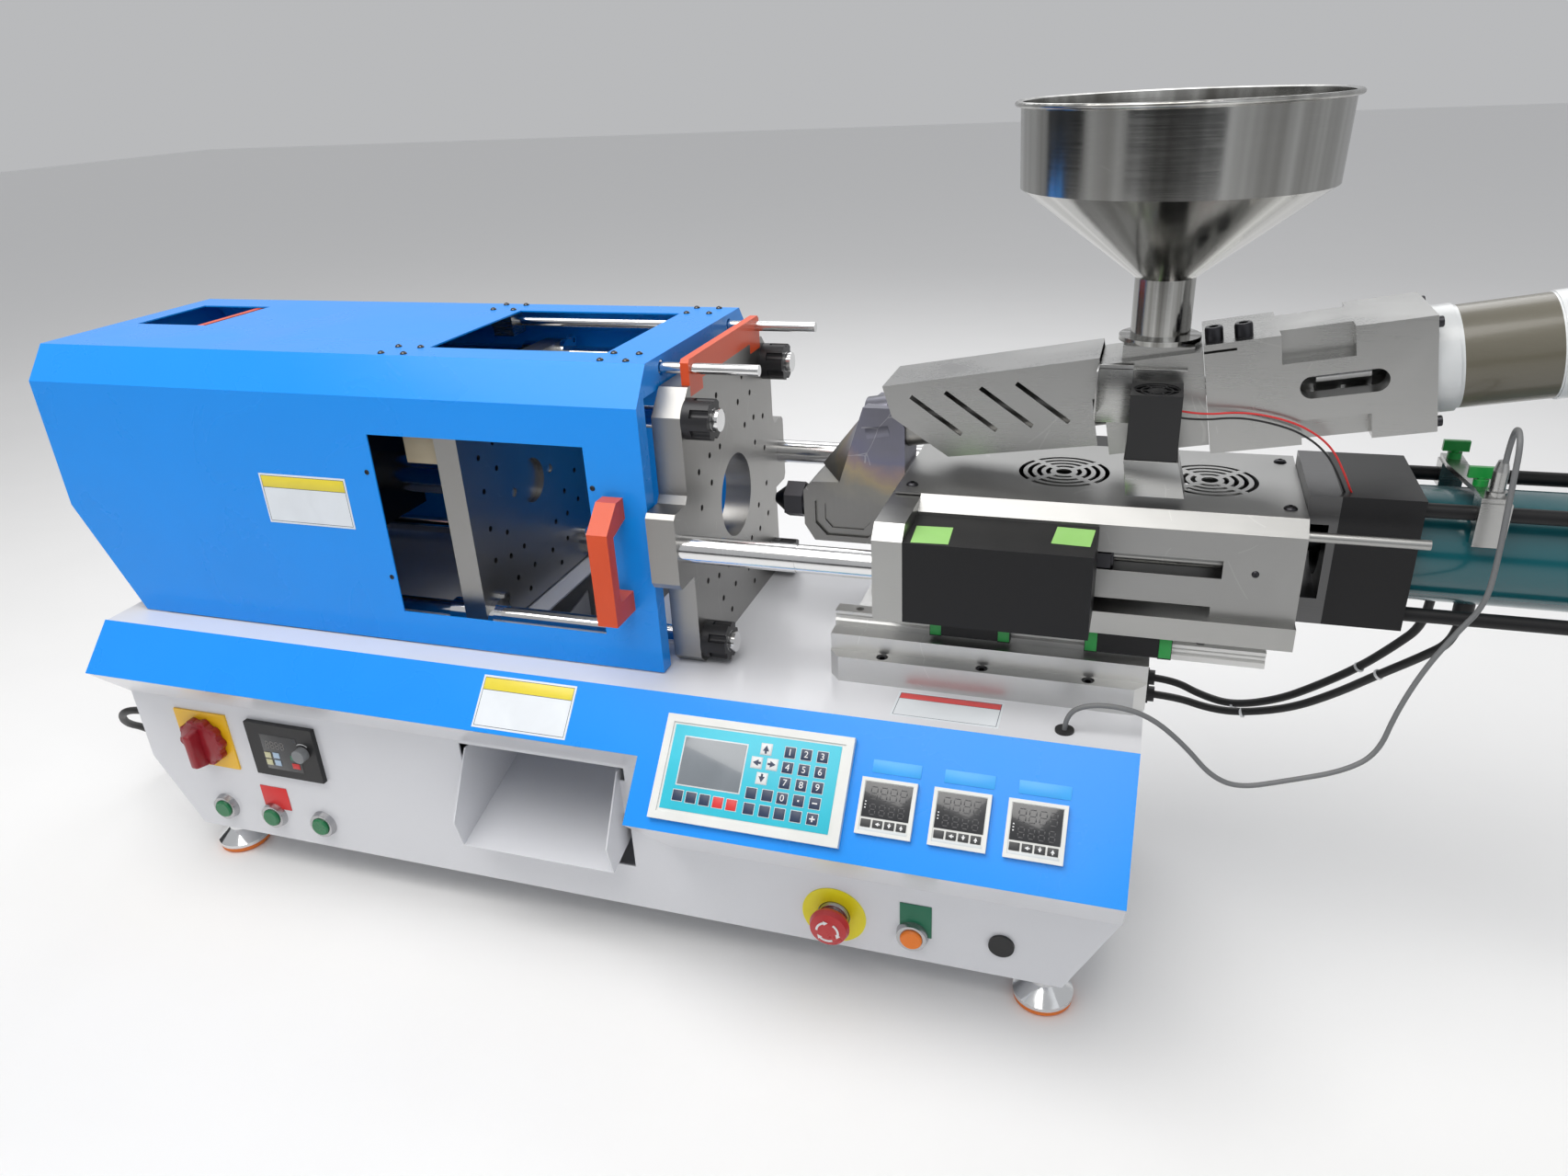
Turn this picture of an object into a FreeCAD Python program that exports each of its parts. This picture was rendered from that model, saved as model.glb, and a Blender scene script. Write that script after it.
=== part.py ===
import FreeCAD, Part
import math
import os
import types

import Sketcher
from FreeCAD import Placement, Rotation, Vector

# Bench-top horizontal injection moulding machine. Millimetres, +Z up, +X along the machine from
# the clamp end to the injection end, -Y towards the operator. Heights are above the floor.

DIMENSIONS = {
    # cabinet
    "foot_height": 45.7, "base_length": 1096.5, "base_depth": 353.0, "base_height": 266.5,
    "sheet_wall": 2.0, "corner_rise": 87.6, "corner_run": 47.0,
    "foot_radius": 28.0, "foot_inset": 66.0, "stud_radius": 8.0, "pad_height": 7.0,
    # console
    "slope_reach": 86.7, "slope_drop": 89.8, "wide_length": 434.2, "narrow_share": 61.7,
    "wide_soffit": 180.7, "narrow_soffit": 90.7, "panel_skin": 2.0,
    # chute and its openings
    "chute_width": 174.0, "chute_wall": 1.5, "mouth_width": 187.0, "mouth_height": 121.0,
    "drop_length": 112.0, "drop_depth": 200.0,
    # clamp
    "mould_axis_y": 176.5, "mould_axis_up": 131.3, "platen_thickness": 27.7,
    "platen_depth": 243.0, "platen_height": 268.3, "ear_reach": 33.0, "ear_height": 73.0,
    "platen_bore": 42.0, "daylight": 206.0, "moving_thickness": 25.0, "clamp_length": 611.0,
    "rear_thickness": 28.0, "bar_radius": 10.0, "bar_spread_y": 104.0, "bar_spread_z": 110.0,
    "nut_radius": 18.5, "nut_length": 25.0, "running_gap": 0.05,
    "cylinder_radius": 52.0, "ram_radius": 22.0,
    # hood
    "hood_length": 696.0, "hood_width": 289.6, "hood_height": 293.3, "hood_wall": 1.5,
    "hood_chamfer_y": 26.2, "hood_chamfer_z": 33.1, "hood_cut_up": 122.4, "hood_cut_run": 61.6,
    "window_length": 228.5, "window_height": 187.3, "roof_window_length": 187.0,
    "roof_window_depth": 170.0, "rod_radius": 5.0, "rod_spread": 86.0,
    # injection carriage
    "block_length": 282.0, "flange_height": 25.3, "step_height": 41.8, "rail_length": 374.0,
    "plate_thickness": 20.5, "front_thickness": 26.0, "carriage_rod_radius": 12.5,
    "carriage_rod_spread": 140.0, "cover_wall": 1.5, "grille_radius": 40.0,
    "tilt_degrees": 9.5, "hopper_radius": 124.7, "hopper_wall": 1.5, "neck_radius": 24.0,
    "housing_side": 90.0, "motor_radius": 40.0, "tube_radius": 48.4, "head_side": 114.0,
    "tie_rod_radius": 6.0, "barrel_radius": 23.0, "screw_radius": 9.0,
    "guide_radius": 7.0,
    # controls
    "button_radius": 12.4, "bezel_radius": 16.0, "controller_side": 48.0,
    "operator_length": 175.6, "operator_height": 94.8,
    "cable_radius": 2.2, "hose_radius": 3.95, "lead_radius": 4.5, "coil_turn": 57.0,
}

doc = FreeCAD.newDocument("InjectionMouldingMachine")
sheet = doc.addObject("Spreadsheet::Sheet", "dim")
for row, (alias, number) in enumerate(DIMENSIONS.items(), start=1):
    sheet.set(f"A{row}", alias)
    sheet.set(f"B{row}", str(number))
    sheet.setAlias(f"B{row}", alias)
doc.recompute()
dim = types.SimpleNamespace(**{alias: float(sheet.get(alias)) for alias in DIMENSIONS})

# Datums. X is 0 at the cabinet's right end, Y is 0 at its front face.
table = dim.foot_height + dim.base_height
under = dim.foot_height
axis_y = dim.mould_axis_y
axis_z = table + dim.mould_axis_up
base_left = -dim.base_length
fixed_face = -406.3
fixed_back = fixed_face - dim.platen_thickness
moving_face = fixed_back - dim.daylight
moving_back = moving_face - dim.moving_thickness
rear_face = fixed_face - dim.clamp_length
rear_back = rear_face - dim.rear_thickness
hood_right = fixed_back - 2.0
hood_left = hood_right - dim.hood_length
hood_front = axis_y - dim.hood_width / 2
hood_back = axis_y + dim.hood_width / 2
hood_top = table + dim.hood_height
cylinder_end = 432.0
end_handle_reach = 34.0

slope_turn = math.degrees(math.atan2(dim.slope_drop, dim.slope_reach))
front_edge = dim.slope_reach + dim.panel_skin * math.sin(math.radians(slope_turn))
ORIGIN = Vector((hood_left - end_handle_reach + cylinder_end) / 2, (dim.base_depth - front_edge) / 2, 0)
SHIFT = Placement(ORIGIN * -1, Rotation())

TURN = {"X": Rotation(Vector(0, 1, 0), 90), "Y": Rotation(Vector(1, 0, 0), -90),
        "Z": Rotation(), "-X": Rotation(Vector(0, 1, 0), -90), "-Y": Rotation(Vector(1, 0, 0), 90),
        "-Z": Rotation(Vector(1, 0, 0), 180)}
PLANE = {"XY": Rotation(), "XZ": Rotation(Vector(1, 0, 0), 90), "YZ": Rotation(0.5, 0.5, 0.5, 0.5)}
WORLD = Placement()

nodes = []


def size(feature, **values):
    for name, value in values.items():
        if isinstance(value, str):
            feature.setExpression(name, value)
        else:
            setattr(feature, name, value)


def box(corner, length, width, height, frame=WORLD):
    solid = doc.addObject("Part::Box", "Box")
    size(solid, Length=length, Width=width, Height=height)
    solid.Placement = frame * Placement(Vector(*corner), Rotation())
    return solid


def rod(start, radius, length, axis="X", frame=WORLD):
    solid = doc.addObject("Part::Cylinder", "Rod")
    size(solid, Radius=radius, Height=length)
    solid.Placement = frame * Placement(Vector(*start), TURN[axis])
    return solid


def cone(start, first_radius, last_radius, length, axis="X", frame=WORLD):
    solid = doc.addObject("Part::Cone", "Cone")
    size(solid, Radius1=first_radius, Radius2=last_radius, Height=length)
    solid.Placement = frame * Placement(Vector(*start), TURN[axis])
    return solid


def hexagon(start, across_flats, length, axis="X", frame=WORLD):
    solid = doc.addObject("Part::Prism", "Hexagon")
    size(solid, Polygon=6, Circumradius=across_flats / math.sqrt(3), Height=length)
    solid.Placement = frame * Placement(Vector(*start), TURN[axis])
    return solid


def fuse(*solids):
    if len(solids) == 1:
        return solids[0]
    union = doc.addObject("Part::MultiFuse", "Union")
    union.Shapes = list(solids)
    return union


def cut(base, *tools):
    result = doc.addObject("Part::Cut", "Cut")
    result.Base = base
    result.Tool = fuse(*tools)
    return result


def draw(sketch, outline, circles=()):
    # Closed outline of straight edges, and circles given as (x, y, radius or bound cell).
    count = len(outline)
    for index in range(count):
        first = Vector(*outline[index], 0)
        last = Vector(*outline[(index + 1) % count], 0)
        sketch.addGeometry(Part.LineSegment(first, last))
    for index in range(count):
        sketch.addConstraint(Sketcher.Constraint("Coincident", index, 2, (index + 1) % count, 1))
    for x, y, radius in circles:
        number = radius if not isinstance(radius, str) else getattr(dim, radius)
        item = sketch.addGeometry(Part.Circle(Vector(x, y, 0), Vector(0, 0, 1), number))
        constraint = sketch.addConstraint(Sketcher.Constraint("Radius", item, number))
        if isinstance(radius, str):
            sketch.setExpression(f"Constraints[{constraint}]", f"dim.{radius}")


def extrude(outline, plane, start, depth, circles=(), frame=WORLD):
    # XY rises along +Z, XZ goes back along +Y, YZ goes along +X.
    sketch = doc.addObject("Sketcher::SketchObject", "Outline")
    draw(sketch, outline, circles)
    move = {"XY": Vector(0, 0, start), "XZ": Vector(0, start, 0), "YZ": Vector(start, 0, 0)}[plane]
    sketch.Placement = Placement(move, PLANE[plane])
    solid = doc.addObject("Part::Extrusion", "Extrusion")
    solid.Base = sketch
    solid.DirMode = "Normal"
    solid.Reversed = plane == "XZ"
    solid.Solid = True
    size(solid, LengthFwd=depth)
    if frame != WORLD:
        solid.Placement = frame
    return solid


def plane_of(body, role):
    return next(item for item in body.Origin.OriginFeatures if item.Role == role)


def padded(label, role, offset, outline, thickness, circles=(), backwards=False):
    # A machined plate: one sketch with its bores, padded to its thickness.
    body = doc.addObject("PartDesign::Body", label)
    sketch = body.newObject("Sketcher::SketchObject", f"{label}_outline")
    sketch.AttachmentSupport = (plane_of(body, role), [""])
    sketch.MapMode = "FlatFace"
    sketch.AttachmentOffset = Placement(Vector(0, 0, offset), Rotation())
    draw(sketch, outline, circles)
    pad = body.newObject("PartDesign::Pad", f"{label}_pad")
    pad.Profile = sketch
    pad.Reversed = backwards
    size(pad, Length=thickness)
    body.Tip = pad
    return body


def pocket(body, label, role, offset, depth, outline=(), circles=(), backwards=False):
    sketch = body.newObject("Sketcher::SketchObject", f"{label}_outline")
    sketch.AttachmentSupport = (plane_of(body, role), [""])
    sketch.MapMode = "FlatFace"
    sketch.AttachmentOffset = Placement(Vector(0, 0, offset), Rotation())
    draw(sketch, outline, circles)
    doc.recompute()
    before = body.Shape.Volume
    feature = body.newObject("PartDesign::Pocket", label)
    feature.Profile = sketch
    feature.Reversed = backwards
    size(feature, Length=depth)
    doc.recompute()
    body.Tip = feature
    if not body.Shape.Volume < before - 1:
        raise RuntimeError(f"pocket {label} cuts nothing")


def revolve(profile, centre, frame=WORLD):
    # Profile points are (radius, height) about a vertical axis through centre.
    sketch = doc.addObject("Sketcher::SketchObject", "Profile")
    draw(sketch, profile)
    sketch.Placement = Placement(Vector(*centre), PLANE["XZ"])
    solid = doc.addObject("Part::Revolution", "Revolution")
    solid.Source = sketch
    solid.Base = Vector(*centre)
    solid.Axis = Vector(0, 0, 1)
    solid.Angle = 360
    solid.Solid = True
    if frame != WORLD:
        solid.Placement = frame
    return solid


def node(label, *solids):
    # A named sub-part, moved as a whole into the machine's own frame.
    if len(solids) == 1 and solids[0].TypeId == "PartDesign::Body":
        part = solids[0]
    else:
        part = doc.addObject("Part::Compound", label)
        part.Links = list(solids)
    part.Label = label
    part.Placement = SHIFT
    nodes.append(part)
    return part


def rectangle(x_low, y_low, x_high, y_high):
    return [(x_low, y_low), (x_high, y_low), (x_high, y_high), (x_low, y_high)]


def chamfered(x_low, y_low, x_high, y_high, size_x, size_y):
    return [(x_low + size_x, y_low), (x_high - size_x, y_low), (x_high, y_low + size_y),
            (x_high, y_high - size_y), (x_high - size_x, y_high), (x_low + size_x, y_high),
            (x_low, y_high - size_y), (x_low, y_low + size_y)]


# Cabinet: one welded sheet-metal shell with the table on top and the console trough in front.
narrow_y = -dim.slope_reach * dim.narrow_share / math.hypot(dim.slope_reach, dim.slope_drop)
narrow_z = table - dim.slope_drop * dim.narrow_share / math.hypot(dim.slope_reach, dim.slope_drop)
wide_left = -dim.wide_length
mouth_left, mouth_right = -663.0, -663.0 + dim.mouth_width
mouth_low = under + 52.0
chute_left = mouth_left + (dim.mouth_width - dim.chute_width) / 2
drop_left = chute_left + 40.0


def cabinet_outline(wall):
    return [(base_left + wall, table - wall), (base_left + wall, under + dim.corner_rise),
            (base_left + dim.corner_run, under + wall), (-dim.corner_run, under + wall),
            (-wall, under + dim.corner_rise), (-wall, table - wall)]


def build_cabinet():
    wall = dim.sheet_wall
    body = extrude(cabinet_outline(0.0), "XZ", 0.0, "dim.base_depth")
    wide = extrude([(0.5, table), (0.0, table), (-dim.slope_reach, table - dim.slope_drop),
                    (0.0, table - dim.wide_soffit), (0.5, table - dim.wide_soffit)],
                   "YZ", wide_left, "dim.wide_length")
    narrow = extrude([(0.5, table), (0.0, table), (narrow_y, narrow_z),
                      (0.0, table - dim.narrow_soffit), (0.5, table - dim.narrow_soffit)],
                     "YZ", base_left, dim.base_length - dim.wide_length)
    inside = extrude(cabinet_outline(wall), "XZ", wall, dim.base_depth - 2 * wall)
    trough_wide = extrude([(wall + 0.5, table - 3), (-3.0, table - 3),
                           (-dim.slope_reach - 1.0, table - dim.slope_drop + 1.5),
                           (-dim.slope_reach + 3.5, table - dim.slope_drop - 0.5),
                           (wall + 0.5, table - dim.wide_soffit + 7)],
                          "YZ", wide_left + wall, dim.wide_length - 2 * wall)
    trough_narrow = extrude([(wall + 0.5, table - 3), (-3.0, table - 3), (narrow_y - 1.0, narrow_z + 1.0),
                             (narrow_y + 3.5, narrow_z - 0.5), (wall + 0.5, table - dim.narrow_soffit + 6)],
                            "YZ", base_left + wall, dim.base_length - dim.wide_length - wall - 0.01)
    mouth = box((mouth_left, -5, mouth_low), "dim.mouth_width", 10, "dim.mouth_height")
    drop = box((drop_left, 70, table - 5), "dim.drop_length", "dim.drop_depth", 10)
    cable_hole = rod((-62.3, 20.5, table - 5), 5.0, 10, "Z")
    slots = [box((-5, 72, under + 114 + 9.5 * step), 10, 56, 4.5) for step in range(11)]
    holes = [rod((x, -3, z), "dim.button_radius", 8, "Y") for x, z in button_places + [estop_place]]
    holes += [rod((switch_x, -3, switch_z), 6.0, 8, "Y"), rod((plug_x, -3, plug_z), 10.0, 8, "Y")]
    holes += [box((keypad_x - 40, -3, keypad_z - 28), 80, 8, 56)]
    holes += [rod((base_left - 3, 40.0, lead_z), 9.0, 8, "X")]
    holes += [rod((-5, y, hose_z), 8.0, 10, "X") for y in hose_places]
    node("base_cabinet", cut(fuse(body, wide, narrow), inside, trough_wide, trough_narrow,
                             mouth, drop, cable_hole, *slots, *holes))


button_places = [(-1004.0, under + 33.0), (-935.0, under + 33.0), (-867.0, under + 33.0),
                 (-188.0, under + 31.0)]
estop_place = (-265.6, under + 37.5)
switch_x, switch_z = -1003.0, under + 126.0
keypad_x, keypad_z = -892.0, under + 128.0
plug_x, plug_z = -104.0, under + 38.0
lead_z = under + 120.0
hose_z = table - 90.0
hose_places = (255.0, 290.0)

SLOPE = Placement(Vector(0, 0, table), Rotation(Vector(1, 0, 0), slope_turn))
slope_length = math.hypot(dim.slope_reach, dim.slope_drop)
operator_left, operator_top = -410.2, 19.5
controller_left = (-223.1, -160.9, -99.1)
controller_top = 51.0
skin = dim.panel_skin


def build_console():
    # One folded blue sheet on the slope: the wide part, the narrow part and a lip along the edge.
    sheet_wide = box((wide_left, -slope_length, 0), "dim.wide_length", slope_length, "dim.panel_skin",
                     SLOPE)
    sheet_narrow = box((base_left, -dim.narrow_share, 0), dim.base_length - dim.wide_length,
                       "dim.narrow_share", "dim.panel_skin", SLOPE)
    side = dim.controller_side - 3.0
    openings = [box((left + 1.5, -controller_top - side - 1.5, -2), side, side, 8, SLOPE)
                for left in controller_left]
    openings += [box((operator_left + 8, -operator_top - dim.operator_height + 8, -2),
                     dim.operator_length - 16, dim.operator_height - 16, 8, SLOPE)]
    node("console_panel", cut(fuse(sheet_wide, sheet_narrow), *openings))

    body = box((operator_left, -operator_top - dim.operator_height, skin), "dim.operator_length",
               "dim.operator_height", 6.0, SLOPE)
    back = box((operator_left + 9, -operator_top - dim.operator_height + 9, skin - 22),
               dim.operator_length - 18, dim.operator_height - 18, 23.0, SLOPE)
    recess = box((operator_left + 7, -operator_top - dim.operator_height + 7, skin + 4.5),
                 dim.operator_length - 14, dim.operator_height - 14, 4.0, SLOPE)
    node("operator_panel", cut(fuse(body, back), recess))

    controllers = []
    for left in controller_left:
        bezel = box((left, -controller_top - dim.controller_side, skin), "dim.controller_side",
                    "dim.controller_side", 5.0, SLOPE)
        case = box((left + 2, -controller_top - dim.controller_side + 2, skin - 50),
                   dim.controller_side - 4, dim.controller_side - 4, 51.0, SLOPE)
        face = box((left + 3, -controller_top - dim.controller_side + 3, skin + 4.2),
                   dim.controller_side - 6, dim.controller_side - 6, 3.0, SLOPE)
        controllers.append(cut(fuse(bezel, case), face))
    node("temperature_controllers", *controllers)


def build_feet():
    places = [(x, y) for x in (base_left + dim.foot_inset, -dim.foot_inset)
              for y in (32.0, dim.base_depth - 32.0)]
    reach = dim.foot_radius
    stand = dim.foot_height
    cones, pads = [], []
    for x, y in places:
        pads.append(revolve([(0.0, 0.0), (reach - 2, 0.0), (reach, 2.0), (reach, dim.pad_height),
                             (0.0, dim.pad_height)], (x, y, 0)))
        low = dim.pad_height
        cones.append(revolve([(0.0, low), (reach + 1, low), (reach + 1, low + 4), (14.0, low + 17),
                              (14.0, low + 24), (dim.stud_radius, low + 24), (dim.stud_radius,
                                                                              stand), (0.0, stand)],
                             (x, y, 0)))
    node("levelling_feet", *cones)
    node("foot_pads", *pads)


chute_lip_y, chute_lip_z = -33.0, table - 198.0
chute_back_y = 286.0
chute_slope = math.radians(16.6)


def build_chute():
    # One folded sheet: the sloping floor and two side walls.
    wall = dim.chute_wall
    back_z = chute_lip_z + (chute_back_y - chute_lip_y) * math.tan(chute_slope)
    outline = [(chute_lip_y, chute_lip_z), (chute_back_y, back_z), (chute_back_y, back_z + 50),
               (8.0, table - 98.0), (-1.0, table - 98.0), (-41.0, table - 163.0)]
    inside = [(chute_lip_y - 30, chute_lip_z + wall - 30 * math.tan(chute_slope)),
              (chute_back_y + 5, back_z + wall + 5 * math.tan(chute_slope)),
              (chute_back_y + 5, back_z + 120), (-60.0, back_z + 120)]
    block = extrude(outline, "YZ", chute_left, "dim.chute_width")
    hollow = extrude(inside, "YZ", chute_left + wall, dim.chute_width - 2 * wall)
    tabs = [box((x, dim.sheet_wall, table - 150), 15, 1.5, 40)
            for x in (chute_left - 14, chute_left + dim.chute_width - 1)]
    node("parts_chute", fuse(cut(block, hollow), *tabs))


def build_controls():
    knob_plate = box((switch_x - 36, -2.0, switch_z - 36), 72, 2.0, 72)
    node("main_switch_plate", cut(knob_plate, rod((switch_x, -3, switch_z), 5.05, 4, "Y")))
    shaft = rod((switch_x, 8, switch_z), 5.0, 10.5, "-Y")
    disc = cone((switch_x, -2.3, switch_z), 30.0, 27.0, 12.0, "-Y")
    grip = box((switch_x - 8, -36.0, switch_z - 30), 16, 24.0, 60)
    grips = [rod((switch_x + 24 * math.cos(turn), -2.3, switch_z + 24 * math.sin(turn)), 8.0, 12.0, "-Y")
             for turn in [math.radians(30 + 60 * step) for step in range(6)]]
    node("main_switch_knob", fuse(shaft, disc, grip, *grips))

    face = box((keypad_x - 45, -6.0, keypad_z - 34), 90, 6.0, 68)
    case = box((keypad_x - 38, -1.0, keypad_z - 26), 76, 60.0, 52)
    bore = rod((keypad_x + 28, -8, keypad_z + 4), 3.1, 14, "Y")
    node("drive_keypad", cut(fuse(face, case), bore))
    node("drive_keypad_knob", fuse(rod((keypad_x + 28, 4, keypad_z + 4), 3.0, 12, "-Y"),
                                   rod((keypad_x + 28, -6.3, keypad_z + 4), 8.0, 9.0, "-Y")))

    bezels = []
    for x, z in button_places + [estop_place]:
        height = 4.0 if (x, z) == estop_place else 7.0
        ring = cut(fuse(cone((x, 0, z), "dim.bezel_radius", 14.4, height, "-Y"),
                        rod((x, 0, z), 12.0, 22.0, "Y")),
                   rod((x, -9, z), 11.0, 32.0, "Y"))
        bezels.append(ring)
    node("button_bezels", *bezels)
    names = ("green_button_left", "green_button_middle", "green_button_right", "start_button")
    for name, (x, z) in zip(names, button_places):
        node(name, fuse(cone((x, 10, z), 10.6, 10.6, 18.5, "-Y"), cone((x, -8.5, z), 10.6, 9.2, 1.6, "-Y")))
    x, z = estop_place
    node("estop_plunger", rod((x, 12, z), 10.6, 20.6, "-Y"))
    profile = [(0.0, 0.0), (10.5, 0.0), (12.0, 3.0), (19.0, 4.5), (20.0, 8.0), (18.0, 13.5),
               (9.0, 16.5), (0.0, 17.0)]
    cap = revolve(profile, (0, 0, 0), Placement(Vector(x, -8.9, z), TURN["-Y"]))
    node("estop_cap", cap)

    plug = fuse(rod((plug_x, 0, plug_z), 12.0, 3.0, "-Y"), rod((plug_x, 0, plug_z), 9.9, 8.0, "Y"))
    grommet = cut(fuse(rod((-62.3, 20.5, table), 8.0, 2.0, "Z"),
                       rod((-62.3, 20.5, table - 6), 4.9, 6.0, "Z")),
                  rod((-62.3, 20.5, table - 8), 2.6, 12.0, "Z"))
    gland = fuse(rod((base_left, 40.0, lead_z), 8.9, 8.0, "X"),
                 hexagon((base_left, 40.0, lead_z), 22.0, 8.0, "-X"),
                 rod((base_left - 8.0, 40.0, lead_z), 9.0, 6.0, "-X"))
    gland = cut(gland, rod((base_left - 20, 40.0, lead_z), 5.0, 40.0, "X"))
    fittings = []
    for y in hose_places:
        fitting = fuse(rod((0, y, hose_z), 7.9, 8.0, "-X"), hexagon((0, y, hose_z), 20.0, 7.0, "X"),
                       rod((7.0, y, hose_z), 8.0, 6.0, "X"))
        fittings.append(cut(fitting, rod((-10, y, hose_z), 4.0, 30.0, "X")))
    node("cable_fittings", plug, grommet, gland, *fittings)
    drive = box((-330, 180, under + dim.sheet_wall), 120, 130, 150)
    supply = box((-900, 200, under + dim.sheet_wall), 160, 100, 70)
    node("cabinet_electronics", drive, supply)


build_cabinet()
build_console()
build_feet()
build_chute()
build_controls()


# Clamp: three platens on four tie bars, a clamp cylinder and the ejector.
bar_places = [(axis_y + side * dim.bar_spread_y, axis_z + level * dim.bar_spread_z)
              for side in (-1, 1) for level in (-1, 1)]
platen_front = axis_y - dim.platen_depth / 2
platen_back = axis_y + dim.platen_depth / 2
platen_top = table + dim.platen_height
rod_front = axis_y - dim.rod_spread
rod_back = axis_y + dim.rod_spread
rod_height = hood_top - 11.5
carriage_rod_front = axis_y - dim.carriage_rod_spread
carriage_rod_back = axis_y + dim.carriage_rod_spread
moving_low, moving_high = table + 3.0, table + 258.0
rear_high = table + 258.0
bracket_front, bracket_back = rod_front - 8.0, rod_back + 8.0


def platen_outline():
    ear_low = axis_z - dim.ear_height / 2
    ear_high = axis_z + dim.ear_height / 2
    front, back = platen_front - dim.ear_reach, platen_back + dim.ear_reach
    corner = 22.0
    return [(platen_front + 9, table), (platen_back - 9, table), (platen_back, table + 9),
            (platen_back, ear_low), (back - 4, ear_low), (back, ear_low + 6), (back, ear_high - 4),
            (back - 4, ear_high), (platen_back + 5, ear_high), (platen_back, ear_high + 7),
            (platen_back, platen_top - corner), (platen_back - corner, platen_top),
            (platen_front + corner, platen_top), (platen_front, platen_top - corner),
            (platen_front, ear_high + 7), (platen_front - 5, ear_high), (front + 4, ear_high),
            (front, ear_high - 4), (front, ear_low + 6), (front + 4, ear_low),
            (platen_front, ear_low), (platen_front, table + 9)]


def mould_holes():
    # Threaded mould-fixing holes in a grid of steps about the mould axis.
    places = []
    for reach_y, reach_z in ((35, 62), (62, 35), (62, 62), (90, 20), (90, 55), (20, 90), (55, 90),
                             (35, 112)):
        for side in (-1, 1):
            for level in (-1, 1):
                places.append((axis_y + side * reach_y, axis_z + level * reach_z))
    return places


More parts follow.
